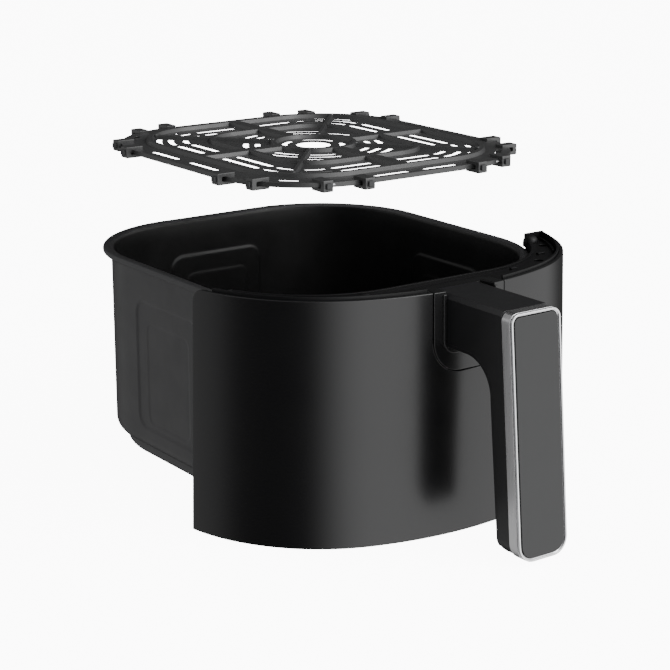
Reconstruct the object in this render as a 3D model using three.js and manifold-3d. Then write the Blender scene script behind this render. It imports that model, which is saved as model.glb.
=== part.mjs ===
// The pull-out drawer of an air fryer, with its crisper plate lifted out above the pot.
// Millimetres, +Z up, +X right, -Y front (the handle side). The origin is the centre of the
// pot's flat bottom. The front cover and the handle hang a little lower than the pot.
import * as THREE from "three";
import { mergeVertices } from "three/addons/utils/BufferGeometryUtils.js";
import Module from "manifold-3d";

const wasm = await Module();
wasm.setup();

// ---------------------------------------------------------------- driving dimensions
const GAP = 0.35; // clearance between neighbouring pieces

// Pot: a rounded-rectangle pan with a rolled lip and a stepped bottom.
const POT_HALF_X = 111.5; // outside of the wall
const POT_HALF_Y = 120.1;
const POT_RADIUS = 72.8; // corner radius, outside of the wall
const POT_HEIGHT = 133.5;
const POT_WALL = 1.6;
const LIP_OVERHANG = 5.5;
const LIP_HEIGHT = 4.2;
const BOTTOM_RADIUS = 7.6; // where the wall turns into the bottom
const BOSS_INSET = 7; // the lower, smaller bottom
const BOSS_RADIUS = 8;
const BOSS_HEIGHT = 10.4;
const PAD_HALF_WIDTH = 36; // pressed pads in the middle of each wall
const PAD_LOW = 25;
const PAD_HIGH = 108;
const INNER_PAD_HALF_WIDTH = 24.5;
const INNER_PAD_LOW = 29;
const INNER_PAD_HIGH = 95;
const PAD_DEPTH = 0.8; // how far each step is pressed in
const PAD_CORNER = 7;
const PAD_SKIN = 1.2; // of the added metal behind a pad, so that it joins the wall

// Front cover: its plan is a wide front arc between two tighter side arcs.
const COVER_LOW = -8;
const COVER_TOP = 139.7;
const COVER_FRONT_Y = -161.6;
const COVER_FRONT_RADIUS = 202.2;
const COVER_SIDE_RADIUS = 105;
const COVER_FRONT_HALF_ANGLE = rad(19);
const COVER_END_ANGLE = rad(81.9);
const COVER_DRAFT = 0.0249; // the cover leans in towards its top
const COVER_WALL = 2.6;
const COVER_CORNER_RADIUS = 8;

// Heat shield behind the cover, and the bosses that carry it.
const SHIELD_OFFSET = 11;
const SHIELD_WALL = 2;
const SHIELD_LOW = -3;
const SHIELD_HIGH = 122;
const SHIELD_END_ANGLE = rad(64);
const BOSS_PIN_RADIUS = 4;
const SHIELD_SCREWS = [
  [-0.26, 20],
  [0.26, 20],
  [-0.62, 94],
  [0.62, 94],
];

// Top bracket: the crescent between the pot's front lip and the cover's top edge.
const BRACKET_TOP = 139.5; // of the rims along the cover and along the back ends
const BRACKET_FLOOR = 136.6;
const BRACKET_PLATE = 1.4;
const BRACKET_LOW = 130.2; // of the skirts and of the screw bosses
const BRACKET_BACK_Y = -76;
const BRACKET_RIM = 1.4;
const BRACKET_BACK_RIM = 2;
const BRACKET_LIP_RIM = 2; // the rim along the pot's lip, and its height
const BRACKET_LIP_RIM_TOP = 138.2;
const RIDGE_INSET = [2.4, 3.9]; // a ridge beside the outer rim, in the two wings only
const RIDGE_TOP = 138.4;
const WING = [[104, -112], [134, -77]];
const TAB_TOP = 137.9;
const TABS = [
  [96, -110.2, 3, 1.3],
  [56, -130, 2.3, 1.2],
]; // place, half length and half width; the same on the left
const KNOB = [112.5, -82, 136.5]; // a round knob that reaches over the pot's lip, on the right only
const KNOB_RADIUS = 5;
const KNOB_LOW = 134;
const BRACKET_SCREWS = [
  [-1.096, 7.2],
  [-0.635, 10.9],
  [0.635, 10.9],
  [1.096, 7.2],
]; // turn of the cover's normal, and distance in from the cover's inner face
const BRACKET_SEAT = 132.6; // the screw heads sit deep in their holes
const BRACKET_BORE = 2.9;
const BRACKET_BOSS = 4.4;

// Handle: a flat arm and a grip whose front leans out by a few degrees.
const HANDLE_TOP = 138;
const HANDLE_BOTTOM = -5.5;
const HANDLE_HALF_WIDTH = 18;
const HANDLE_CHAMFER = 2.6;
const HANDLE_BOTTOM_RADIUS = 10.5;
const GRIP_LEAN = 0.0914;
const GRIP_FRONT_Y = -212.3; // front plane, at the height of the pot's rim
const GRIP_DEPTH = 19.6;
const ARM_ROOT_Y = -144;
const ARM_UNDERSIDE = 106.6;
const ARM_CURVE_RADIUS = 22;
const BACK_SHELL = 2.3;
const PALM_END = 3.4; // the palm side ends that far above the handle's bottom
const HEEL_CUT = 3.8; // the grip's lower back edge is cut off by that much
const HEEL_RISE = 1.2;
const TRIM_HALF_WIDTH = 18.2;
const TRIM_DEPTH = 6.9;
const TRIM_WALL = 0.85;
const RING_HALF_WIDTH = 18.1;
const RING_WALL = 1.3;
const RING_PROUD = 1.9; // in front of the trim
const RING_SKIRT_HALF_WIDTH = 17; // the part of the ring that plugs into the trim
const RING_SKIRT_WALL = 0.7;
const INSERT_HALF_WIDTH = 15.95;

// Socket: the U-shaped piece that the arm's root sits in.
const SOCKET_HALF_WIDTH = 26.8;
const SOCKET_BOTTOM = 91.6;
const SOCKET_RADIUS = 18.5;
const SOCKET_BACK_Y = -136;
const COLLAR_HALF_WIDTH = 20.8; // a low collar round the arm's root
const COLLAR_BOTTOM = 102.4;
const COLLAR_RADIUS = 9;
const COLLAR_PROUD = 0.9;

// Crisper plate.
const PLATE_TOP = 200; // height of the plate's flat, lifted out above the pot
const PLATE_HALF_X = 102.6;
const PLATE_HALF_Y = 110.4;
const PLATE_RADIUS = 62;
const PLATE_WEB = 1;
const PLATE_FLANGE = 3;
const RIB_HEIGHT = 2.4;
const RIB_WIDTH = 4.6;
const HOLE_RADIUS = 10.9;
const INNER_RING_RADIUS = 25.6;
const MIDDLE_RING = [50, 59, 26];
const OUTER_RING = [85, 93.8, 47];
const BAR_WIDTH = 10;
const RIDGE_WIDTH = 3.6;
const SLOT_WIDTH = 4.6;
const ARC_SLOT_WIDTH = 4;
const MARGIN_SLOT_WIDTH = 3.8;
const LUG_WIDTH = 6.9;
const LUG_HEIGHT = 7;
const LUG_RISE = 2;
const LUG_REACH_IN = 12;
const LUG_CLEARANCE = 0.35; // between a bumper's tip and the pot's inner wall
const BUMPER_PROUD = 1.4;
const SIDE_LUGS_Y = [53, 77.4];
const FRONT_LUGS_X = [42, 66.6];
const ROD_RADIUS = 0.9;

// ---------------------------------------------------------------- small helpers
function rad(degrees) {
  return (degrees * Math.PI) / 180;
}

function lerp(a, b, t) {
  return a + (b - a) * t;
}

function linspace(a, b, steps) {
  return Array.from({ length: steps + 1 }, (_, i) => lerp(a, b, i / steps));
}

function material(colour, roughness, metalness = 0) {
  return new THREE.MeshStandardMaterial({ color: colour, roughness, metalness });
}

function coating() {
  return material(0x1b1c1d, 0.5);
}

function blackPlastic() {
  return material(0x17181a, 0.38);
}

function satinMetal() {
  return material(0x9a9b9d, 0.34, 0.9);
}

function polishedMetal() {
  return material(0xd5d6d8, 0.18, 1);
}

function greyPlastic() {
  return material(0x48494b, 0.42);
}

function silicone() {
  return material(0x3d3e40, 0.7);
}

function steel() {
  return material(0x8b8d90, 0.35, 1);
}

// A solid for manifold-3d from a closed geometry, and back again.
function solid(geometry) {
  const bare = geometry.index ? geometry.toNonIndexed() : geometry.clone();
  bare.deleteAttribute("normal");
  bare.deleteAttribute("uv");
  const merged = mergeVertices(bare, 1e-4);
  return new wasm.Manifold(
    new wasm.Mesh({
      numProp: 3,
      vertProperties: new Float32Array(merged.attributes.position.array),
      triVerts: new Uint32Array(merged.index.array),
    }),
  );
}

function geometryOf(shape) {
  const mesh = shape.getMesh();
  const geometry = new THREE.BufferGeometry();
  geometry.setAttribute("position", new THREE.BufferAttribute(new Float32Array(mesh.vertProperties), 3));
  geometry.setIndex(new THREE.BufferAttribute(new Uint32Array(mesh.triVerts), 1));
  const flat = geometry.toNonIndexed();
  flat.computeVertexNormals();
  return flat;
}

function union(shapes) {
  return shapes.reduce((whole, shape) => whole.add(shape));
}

function without(shape, tools) {
  return tools.reduce((left, tool) => left.subtract(tool), shape);
}

// Triangles from a list of corner triples.
function fromTriangles(triangles) {
  const geometry = new THREE.BufferGeometry();
  geometry.setAttribute("position", new THREE.Float32BufferAttribute(triangles.flat(2), 3));
  return geometry;
}

// A closed skin over a stack of level loops with equal counts, capped at the first and last loop.
function loft(loops) {
  const triangles = [];
  const count = loops[0].length;
  for (let level = 0; level + 1 < loops.length; level++) {
    for (let i = 0; i < count; i++) {
      const j = (i + 1) % count;
      const [a, b, c, d] = [loops[level][i], loops[level][j], loops[level + 1][j], loops[level + 1][i]];
      triangles.push([a, b, c], [a, c, d]);
    }
  }
  const first = loops[0];
  const last = loops[loops.length - 1];
  for (let i = 1; i + 1 < count; i++) {
    triangles.push([first[0], first[i + 1], first[i]]);
    triangles.push([last[0], last[i], last[i + 1]]);
  }
  return fromTriangles(triangles);
}

// A curved wall from two equal grids of points, outside and inside, indexed [height][along].
function slab(outside, inside) {
  const triangles = [];
  const quad = (a, b, c, d) => triangles.push([a, b, c], [a, c, d]);
  const rows = outside.length - 1;
  const columns = outside[0].length - 1;
  for (let r = 0; r < rows; r++) {
    for (let c = 0; c < columns; c++) {
      quad(outside[r][c], outside[r][c + 1], outside[r + 1][c + 1], outside[r + 1][c]);
      quad(inside[r][c], inside[r + 1][c], inside[r + 1][c + 1], inside[r][c + 1]);
    }
    quad(inside[r][0], outside[r][0], outside[r + 1][0], inside[r + 1][0]);
    quad(outside[r][columns], inside[r][columns], inside[r + 1][columns], outside[r + 1][columns]);
  }
  for (let c = 0; c < columns; c++) {
    quad(inside[0][c], inside[0][c + 1], outside[0][c + 1], outside[0][c]);
    quad(outside[rows][c], outside[rows][c + 1], inside[rows][c + 1], inside[rows][c]);
  }
  return fromTriangles(triangles);
}

// Points round a rectangle with round corners, counter-clockwise.
function roundedRect(halfX, halfY, radius, steps) {
  const corners = [
    [halfX - radius, halfY - radius, 0],
    [radius - halfX, halfY - radius, 90],
    [radius - halfX, radius - halfY, 180],
    [halfX - radius, radius - halfY, 270],
  ];
  return corners.flatMap(([x, y, start]) =>
    linspace(start, start + 90, steps).map((angle) => [
      x + radius * Math.cos(rad(angle)),
      y + radius * Math.sin(rad(angle)),
    ]),
  );
}

function shapeOf(points, holes = []) {
  const shape = new THREE.Shape(points.map(([x, y]) => new THREE.Vector2(x, y)));
  shape.holes = holes.map((hole) => new THREE.Path(hole.map(([x, y]) => new THREE.Vector2(x, y))));
  return shape;
}

// A flat prism standing on height z, its outline in XY.
function prism(points, z, height, holes = []) {
  const geometry = new THREE.ExtrudeGeometry(shapeOf(points, holes), { depth: height, bevelEnabled: false });
  return geometry.translate(0, 0, z);
}

// A prism along Y between two depths, its outline in XZ.
function prismY(points, yBack, yFront) {
  const geometry = new THREE.ExtrudeGeometry(shapeOf(points), { depth: yBack - yFront, bevelEnabled: false });
  return geometry.rotateX(Math.PI / 2).translate(0, yBack, 0);
}

// A prism along X between -half and +half, its outline in YZ.
function prismX(points, half) {
  const geometry = new THREE.ExtrudeGeometry(shapeOf(points), { depth: 2 * half, bevelEnabled: false });
  return geometry.rotateY(Math.PI / 2).rotateX(Math.PI / 2).translate(-half, 0, 0);
}

function box(low, high) {
  const size = high.map((value, i) => value - low[i]);
  const geometry = new THREE.BoxGeometry(...size);
  return geometry.translate(...low.map((value, i) => value + size[i] / 2));
}

function upright(radius, low, high, x, y, sides = 16) {
  return new THREE.CylinderGeometry(radius, radius, high - low, sides)
    .rotateX(Math.PI / 2)
    .translate(x, y, (low + high) / 2);
}

// ---------------------------------------------------------------- pot
function potLoop(inset, z) {
  const outline = roundedRect(POT_HALF_X - inset, POT_HALF_Y - inset, POT_RADIUS - inset, 12);
  return outline.map(([x, y]) => [x, y, z]);
}

// A quarter of a round in the pot's section, from the floor side (angle 0) to the wall side (90).
function sectionArc(centreInset, centreZ, radius, from, to, steps) {
  return linspace(from, to, steps).map((angle) => [
    centreInset - radius * Math.sin(rad(angle)),
    centreZ - radius * Math.cos(rad(angle)),
  ]);
}

function potSection() {
  const wallFoot = BOSS_HEIGHT + BOTTOM_RADIUS;
  const join = Math.asin((BOTTOM_RADIUS - BOSS_INSET) / BOTTOM_RADIUS) * (180 / Math.PI);
  const lipLow = POT_HEIGHT - LIP_HEIGHT;
  const bossCentre = BOSS_INSET + BOSS_RADIUS;
  return [
    ...sectionArc(bossCentre, BOSS_RADIUS, BOSS_RADIUS, 0, 90, 4),
    ...sectionArc(BOTTOM_RADIUS, wallFoot, BOTTOM_RADIUS, join, 90, 5),
    [0, lipLow - 1.2],
    [-1.2, lipLow],
    [-LIP_OVERHANG + 0.9, lipLow],
    [-LIP_OVERHANG, lipLow + 1.2],
    [-LIP_OVERHANG, POT_HEIGHT - 1.2],
    [-LIP_OVERHANG + 1.2, POT_HEIGHT],
    [-0.6, POT_HEIGHT],
    [POT_WALL, POT_HEIGHT - 2],
    ...sectionArc(BOTTOM_RADIUS, wallFoot, BOTTOM_RADIUS - POT_WALL, 90, 1, 5),
    ...sectionArc(bossCentre, BOSS_RADIUS, BOSS_RADIUS - POT_WALL, 90, 0, 4),
  ];
}

// A round-cornered pad of the given thickness on each wall, its middle depth wallOffset inside
// the wall's outer face.
function pads(halfWidth, low, high, thickness, wallOffset) {
  const middle = (high + low) / 2;
  const outline = roundedRect(halfWidth, (high - low) / 2, PAD_CORNER, 3).map(([x, z]) => [x, z + middle]);
  const wallY = POT_HALF_Y - wallOffset;
  const wallX = POT_HALF_X - wallOffset;
  const alongY = prismY(outline, thickness / 2, -thickness / 2);
  return [
    alongY.clone().translate(0, wallY, 0),
    alongY.clone().translate(0, -wallY, 0),
    alongY.clone().rotateZ(Math.PI / 2).translate(wallX, 0, 0),
    alongY.clone().rotateZ(Math.PI / 2).translate(-wallX, 0, 0),
  ].map(solid);
}

// The pads are pressed inwards in two steps: the wall is cut outside and thickened inside.
function potGeometry() {
  const body = solid(loft(potSection().map(([inset, z]) => potLoop(inset, z))));
  const pressed = (halfWidth, low, high, depth) => ({
    bumps: pads(halfWidth, low, high, PAD_SKIN, POT_WALL + depth - PAD_SKIN / 2),
    hollows: pads(halfWidth - PAD_DEPTH, low + PAD_DEPTH, high - PAD_DEPTH, 2 * depth, 0),
  });
  const outer = pressed(PAD_HALF_WIDTH, PAD_LOW, PAD_HIGH, PAD_DEPTH);
  const inner = pressed(INNER_PAD_HALF_WIDTH, INNER_PAD_LOW, INNER_PAD_HIGH, 2 * PAD_DEPTH);
  const thick = union([body, ...outer.bumps, ...inner.bumps]);
  return geometryOf(without(thick, [...outer.hollows, ...inner.hollows]));
}

// ---------------------------------------------------------------- front cover and heat shield
// A point of the cover's plan: angle is the outward normal's, from the front (-Y) towards +X.
function coverPoint(angle, z, offset) {
  const side = Math.sign(angle);
  const turn = Math.abs(angle);
  const onFront = turn <= COVER_FRONT_HALF_ANGLE;
  const radius = onFront ? COVER_FRONT_RADIUS : COVER_SIDE_RADIUS;
  const shift = onFront ? 0 : COVER_FRONT_RADIUS - COVER_SIDE_RADIUS;
  const centreX = side * shift * Math.sin(COVER_FRONT_HALF_ANGLE);
  const centreY = COVER_FRONT_Y + COVER_FRONT_RADIUS - shift * Math.cos(COVER_FRONT_HALF_ANGLE);
  const reach = radius + offset - COVER_DRAFT * (z - COVER_LOW);
  return [centreX + side * reach * Math.sin(turn), centreY - reach * Math.cos(turn), z];
}

function coverAngles(end, steps) {
  return linspace(-1, 1, steps).map((t) => t * end);
}

// A wall that follows the cover's plan. trim(z) shortens its ends, in radians.
function coverWall(offset, thickness, heights, end, steps, trim = () => 0) {
  const grid = (distance) =>
    heights.map((z) => coverAngles(end - trim(z), steps).map((angle) => coverPoint(angle, z, distance)));
  return slab(grid(offset), grid(offset - thickness));
}

function coverCorner(z) {
  const above = z - (COVER_TOP - COVER_CORNER_RADIUS);
  if (above <= 0) return 0;
  const cut = COVER_CORNER_RADIUS - Math.sqrt(COVER_CORNER_RADIUS ** 2 - above ** 2);
  return cut / COVER_SIDE_RADIUS;
}

// A U outline in XZ: two round lower corners and an open top far above.
function uOutline(halfWidth, bottom, radius) {
  const top = HANDLE_TOP + 20;
  const corner = (x, start) =>
    linspace(start, start + 90, 8).map((angle) => [
      x + radius * Math.cos(rad(angle)),
      bottom + radius + radius * Math.sin(rad(angle)),
    ]);
  return [...corner(radius - halfWidth, 180), ...corner(halfWidth - radius, 270), [halfWidth, top], [-halfWidth, top]];
}

// The U outline that the socket fills.
function socketOutline(grow) {
  return uOutline(SOCKET_HALF_WIDTH + grow, SOCKET_BOTTOM - grow, SOCKET_RADIUS + grow);
}

// A pin square to the cover at a place on it, between two offsets from its face.
function normalPin(angle, z, radius, from, to) {
  const [x, y] = coverPoint(angle, z, 0);
  return new THREE.CylinderGeometry(radius, radius, from - to, 12)
    .translate(0, -(from + to) / 2, 0)
    .rotateZ(angle)
    .translate(x, y, z);
}

function coverGeometry() {
  const corner = linspace(0, 90, 4).map(
    (angle) => COVER_TOP - COVER_CORNER_RADIUS + COVER_CORNER_RADIUS * Math.sin(rad(angle)),
  );
  const heights = [COVER_LOW, (COVER_LOW + COVER_TOP) / 2, ...corner];
  const wall = solid(coverWall(0, COVER_WALL, heights, COVER_END_ANGLE, 36, coverCorner));
  const bosses = SHIELD_SCREWS.map(([angle, z]) =>
    solid(normalPin(angle, z, BOSS_PIN_RADIUS, -1, -SHIELD_OFFSET + GAP)),
  );
  const holes = SHIELD_SCREWS.map(([angle, z]) => solid(normalPin(angle, z, 1.6, -4, -SHIELD_OFFSET - 3)));
  const notch = solid(prismY(socketOutline(GAP), -120, -180));
  return geometryOf(without(union([wall, ...bosses]), [notch, ...holes]));
}

function shieldGeometry() {
  const wall = solid(coverWall(-SHIELD_OFFSET, SHIELD_WALL, [SHIELD_LOW, SHIELD_HIGH], SHIELD_END_ANGLE, 28));
  const holes = SHIELD_SCREWS.map(([angle, z]) =>
    solid(normalPin(angle, z, 2, -SHIELD_OFFSET + 3, -SHIELD_OFFSET - 5)),
  );
  return geometryOf(without(wall, [...holes, solid(prismY(socketOutline(2), -120, -170))]));
}

// ---------------------------------------------------------------- screws
// A pan-head screw along +Y at the origin: the head's flat underside is at y = 0, the shank at y < 0.
function screwGeometry(headRadius, headHeight, shankRadius, shankLength) {
  const profile = [
    [0, -shankLength],
    [shankRadius, -shankLength],
    [shankRadius, 0],
    [headRadius, 0],
    [headRadius, headHeight * 0.55],
    [headRadius * 0.7, headHeight],
    [0, headHeight],
  ].map(([r, y]) => new THREE.Vector2(r, y));
  return new THREE.LatheGeometry(profile, 12);
}

function shieldScrew([angle, z]) {
  const [x, y] = coverPoint(angle, z, -SHIELD_OFFSET - SHIELD_WALL - GAP);
  return screwGeometry(3.2, 1.8, 1.25, 6).rotateZ(angle).translate(x, y, z);
}

// ---------------------------------------------------------------- top bracket
function lipOutline(grow) {
  return roundedRect(
    POT_HALF_X + LIP_OVERHANG + grow,
    POT_HALF_Y + LIP_OVERHANG + grow,
    POT_RADIUS + LIP_OVERHANG + grow,
    16,
  );
}

// A crescent between the pot's outline grown by inner, and the cover's inside moved by outer.
function crescent(low, high, inner, outer, backY) {
  const plan = coverAngles(COVER_END_ANGLE, 32).map((angle) =>
    coverPoint(angle, high, -COVER_WALL - GAP - outer).slice(0, 2),
  );
  const whole = solid(prism(plan, low, high - low));
  const behind = solid(box([-200, backY, low - 1], [200, 200, high + 1]));
  return without(whole, [solid(prism(lipOutline(inner), low - 1, high - low + 2)), behind]);
}

function bracketScrewPlace([angle, inset]) {
  return coverPoint(angle, BRACKET_TOP, -COVER_WALL - inset);
}

// The strip of the crescent between two distances in from the cover's inner face.
function coverStrip(low, high, near, far) {
  const whole = crescent(low, high, GAP, near, BRACKET_BACK_Y);
  return without(whole, [crescent(low - 1, high + 1, -30, far, BRACKET_BACK_Y - 1)]);
}

function onBothSides(make) {
  return union([make(-1), make(1)]);
}

function sideBox(side, [x0, y0, z0], [x1, y1, z1]) {
  const [left, right] = side > 0 ? [x0, x1] : [-x1, -x0];
  return solid(box([left, y0, z0], [right, y1, z1]));
}

function bracketRims(plateLow) {
  const outer = coverStrip(BRACKET_LOW, BRACKET_TOP, 0, BRACKET_RIM);
  const back = crescent(plateLow, BRACKET_TOP, GAP, 0, BRACKET_BACK_Y).intersect(
    onBothSides((side) => sideBox(side, [KNOB[0], BRACKET_BACK_Y - BRACKET_BACK_RIM, 0], [200, 0, 200])),
  );
  const lip = crescent(BRACKET_LOW, BRACKET_LIP_RIM_TOP, GAP, 0, BRACKET_BACK_Y).intersect(
    solid(prism(lipOutline(GAP + BRACKET_LIP_RIM), BRACKET_LOW - 1, 20)),
  );
  const ridge = coverStrip(plateLow, RIDGE_TOP, ...RIDGE_INSET).intersect(
    onBothSides((side) => sideBox(side, [...WING[0], 0], [...WING[1], 200])),
  );
  return [outer, back, lip, ridge];
}

function bracketKnob() {
  const [x, y, z] = KNOB;
  const ball = solid(new THREE.SphereGeometry(KNOB_RADIUS, 24, 12).rotateX(Math.PI / 2).translate(x, y, z));
  return ball.intersect(solid(box([-200, -200, KNOB_LOW], [200, 200, 200])));
}

function bracketTab([x, y, halfLength, halfWidth], plateLow) {
  return onBothSides((side) =>
    sideBox(side, [x - halfLength, y - halfWidth, plateLow], [x + halfLength, y + halfWidth, TAB_TOP]),
  );
}

function bracketGeometry() {
  const plateLow = BRACKET_FLOOR - BRACKET_PLATE;
  const plate = crescent(plateLow, BRACKET_FLOOR, GAP, 0, BRACKET_BACK_Y);
  const tabs = TABS.map((tab) => bracketTab(tab, plateLow));
  const bosses = BRACKET_SCREWS.map((place) => {
    const [x, y] = bracketScrewPlace(place);
    return solid(upright(BRACKET_BOSS, BRACKET_LOW, BRACKET_FLOOR, x, y));
  });
  const holes = BRACKET_SCREWS.flatMap((place) => {
    const [x, y] = bracketScrewPlace(place);
    const shank = solid(upright(1.7, BRACKET_LOW - 1, BRACKET_TOP + 1, x, y, 12));
    return [shank, solid(upright(BRACKET_BORE, BRACKET_SEAT, BRACKET_TOP + 1, x, y, 24))];
  });
  const socketNotch = solid(prismY(socketOutline(GAP), SOCKET_BACK_Y + GAP, -180));
  const pieces = [plate, ...bracketRims(plateLow), bracketKnob(), ...tabs, ...bosses];
  return geometryOf(without(union(pieces), [...holes, socketNotch]));
}

function bracketScrew(place) {
  const [x, y] = bracketScrewPlace(place);
  return screwGeometry(2.5, 1.5, 1.3, 6).rotateX(Math.PI / 2).translate(x, y, BRACKET_SEAT + GAP);
}

// ---------------------------------------------------------------- handle
// The grip's front plane, moved back by depth.
function gripY(z, depth) {
  return GRIP_FRONT_Y + depth + GRIP_LEAN * (z - POT_HEIGHT);
}

// The handle's outline from the front, in XZ: chamfered at the top, round at the bottom.
function handleOutline(shrink) {
  const half = HANDLE_HALF_WIDTH - shrink;
  const top = HANDLE_TOP - shrink;
  const chamfer = HANDLE_CHAMFER;
  const r = HANDLE_BOTTOM_RADIUS;
  const low = HANDLE_BOTTOM + 0.6 + shrink + r;
  const corner = (x, from) =>
    linspace(from, from + 90, 6).map((angle) => [x + r * Math.cos(rad(angle)), low + r * Math.sin(rad(angle))]);
  return [
    [half, top - chamfer],
    [half - chamfer, top],
    [chamfer - half, top],
    [-half, top - chamfer],
    ...corner(r - half, 180),
    ...corner(half - r, 270),
  ];
}

// The palm side of the handle, in YZ, from the arm's root round the curve and down the grip.
function palmLine(offset) {
  const radius = ARM_CURVE_RADIUS + offset;
  const centreZ = ARM_UNDERSIDE - ARM_CURVE_RADIUS;
  const centreY = gripY(centreZ, GRIP_DEPTH) + ARM_CURVE_RADIUS;
  const curve = linspace(90, 180, 8).map((angle) => [
    centreY + radius * Math.cos(rad(angle)),
    centreZ + radius * Math.sin(rad(angle)),
  ]);
  const low = HANDLE_BOTTOM + PALM_END;
  return [...curve, [gripY(low, GRIP_DEPTH) - offset, low]];
}

function handleBodyShape(grow) {
  const palm = palmLine(BACK_SHELL + GAP - grow);
  const front = TRIM_DEPTH + GAP;
  const lowest = HANDLE_BOTTOM - 2;
  const side = [
    [ARM_ROOT_Y, HANDLE_TOP + 2],
    [gripY(HANDLE_TOP + 2, front), HANDLE_TOP + 2],
    [gripY(lowest, front), lowest],
    [gripY(lowest, GRIP_DEPTH - HEEL_CUT), lowest],
    [gripY(HANDLE_BOTTOM + HEEL_RISE, GRIP_DEPTH - HEEL_CUT), HANDLE_BOTTOM + HEEL_RISE],
    ...palm.reverse(),
    [ARM_ROOT_Y, ARM_UNDERSIDE + BACK_SHELL + GAP - grow],
  ];
  const wide = solid(prismX(side, HANDLE_HALF_WIDTH + 5));
  return wide.intersect(solid(prismY(handleOutline(-grow), -100, -260)));
}

const HANDLE_SCREWS = [-9, 9];
const HANDLE_SCREW_Z = 122;

function handleScrewHole(x, radius, from, to) {
  return solid(
    new THREE.CylinderGeometry(radius, radius, from - to, 12).translate(x, (from + to) / 2, HANDLE_SCREW_Z),
  );
}

function handleBodyGeometry() {
  const holes = HANDLE_SCREWS.map((x) => handleScrewHole(x, 1.9, -130, -156));
  return geometryOf(without(handleBodyShape(0), holes));
}

// The thin inner shell that the fingers close on.
function handleBackGeometry() {
  const outer = palmLine(0);
  const inner = palmLine(BACK_SHELL);
  const rootY = coverPoint(0, ARM_UNDERSIDE, 0)[1] - 3;
  const band = [[rootY, ARM_UNDERSIDE], ...outer, ...inner.reverse(), [rootY, ARM_UNDERSIDE + BACK_SHELL]];
  const wide = solid(prismX(band, HANDLE_HALF_WIDTH + 5));
  return geometryOf(wide.intersect(solid(prismY(handleOutline(0.4), -100, -260))));
}

// Outline of the grip's front pieces, in XZ, for a piece with the given half width.
function frontOutline(half, steps = 6) {
  const margin = TRIM_HALF_WIDTH - half;
  const top = HANDLE_TOP - margin;
  const low = HANDLE_BOTTOM + margin;
  const topRadius = Math.max(6 - margin, 2.4);
  const lowRadius = Math.max(HANDLE_BOTTOM_RADIUS - margin, 3);
  const corners = [
    [half - topRadius, top - topRadius, topRadius, 0],
    [topRadius - half, top - topRadius, topRadius, 90],
    [lowRadius - half, low + lowRadius, lowRadius, 180],
    [half - lowRadius, low + lowRadius, lowRadius, 270],
  ];
  return corners.flatMap(([x, z, r, start]) =>
    linspace(start, start + 90, steps).map((angle) => [x + r * Math.cos(rad(angle)), z + r * Math.sin(rad(angle))]),
  );
}

// A plate with the given outline, parallel to the grip's leaning front, between two depths.
function leaningPlate(outline, shallow, deep) {
  const loopAt = (depth) => outline.map(([x, z]) => [x, gripY(z, depth), z]);
  return solid(loft([loopAt(deep), loopAt(shallow)]));
}

function leaningRing(half, wall, shallow, deep) {
  const opening = leaningPlate(frontOutline(half - wall), shallow - 1, deep + 1);
  return leaningPlate(frontOutline(half), shallow, deep).subtract(opening);
}

function trimGeometry() {
  return geometryOf(leaningRing(TRIM_HALF_WIDTH, TRIM_WALL, 0, TRIM_DEPTH));
}

function ringGeometry() {
  const band = leaningRing(RING_HALF_WIDTH, RING_WALL, -RING_PROUD, -0.55);
  const skirt = leaningRing(RING_SKIRT_HALF_WIDTH, RING_SKIRT_WALL, 1 - RING_PROUD, 2.5);
  return geometryOf(band.add(skirt));
}

function insertGeometry() {
  return geometryOf(leaningPlate(frontOutline(INSERT_HALF_WIDTH), 0.1 - RING_PROUD, TRIM_DEPTH));
}

// ---------------------------------------------------------------- socket
// A curved slab that follows the cover's face, proud of it by that much, cut to a U outline.
function coverSlab(proud, thickness, low, high, outline) {
  const slab = solid(coverWall(proud, thickness, [low, high], rad(12), 12));
  return slab.intersect(solid(prismY(outline, SOCKET_BACK_Y, -180)));
}

function socketGeometry() {
  const low = SOCKET_BOTTOM - 15;
  const block = coverSlab(0, 30, low, HANDLE_TOP - 0.2, socketOutline(0));
  const lip = coverSlab(0, COVER_WALL, low, COVER_TOP - 0.2, socketOutline(0));
  const collar = coverSlab(COLLAR_PROUD, 4, low, HANDLE_TOP, uOutline(COLLAR_HALF_WIDTH, COLLAR_BOTTOM, COLLAR_RADIUS));
  const half = HANDLE_HALF_WIDTH + GAP;
  const above = solid(box([-half, -200, HANDLE_TOP - HANDLE_CHAMFER], [half, SOCKET_BACK_Y - 8, HANDLE_TOP + 10]));
  const holes = HANDLE_SCREWS.map((x) => handleScrewHole(x, 2.2, -120, -150));
  return geometryOf(without(union([block, lip, collar]), [handleBodyShape(GAP), above, ...holes]));
}

function handleScrew(x) {
  return screwGeometry(3.2, 1.8, 1.4, 15).translate(x, SOCKET_BACK_Y + GAP, HANDLE_SCREW_Z);
}

// ---------------------------------------------------------------- crisper plate
// A slot of the given width along a list of centre points.
function slotAlong(points, width) {
  const side = (sign) =>
    points.map(([x, y], i) => {
      const [ax, ay] = points[Math.max(i - 1, 0)];
      const [bx, by] = points[Math.min(i + 1, points.length - 1)];
      const length = Math.hypot(bx - ax, by - ay);
      return [x - (sign * width * (by - ay)) / (2 * length), y + (sign * width * (bx - ax)) / (2 * length)];
    });
  return [...side(-1), ...side(1).reverse()];
}

function arcPoints(radius, from, to, steps) {
  return linspace(from, to, steps).map((angle) => [radius * Math.cos(rad(angle)), radius * Math.sin(rad(angle))]);
}

// The four mirror images of an outline, each counter-clockwise.
function mirrored(points) {
  const flipX = points.map(([x, y]) => [-x, y]).reverse();
  const flipY = points.map(([x, y]) => [x, -y]).reverse();
  return [points, flipX, flipY, points.map(([x, y]) => [-x, -y])];
}

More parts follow.
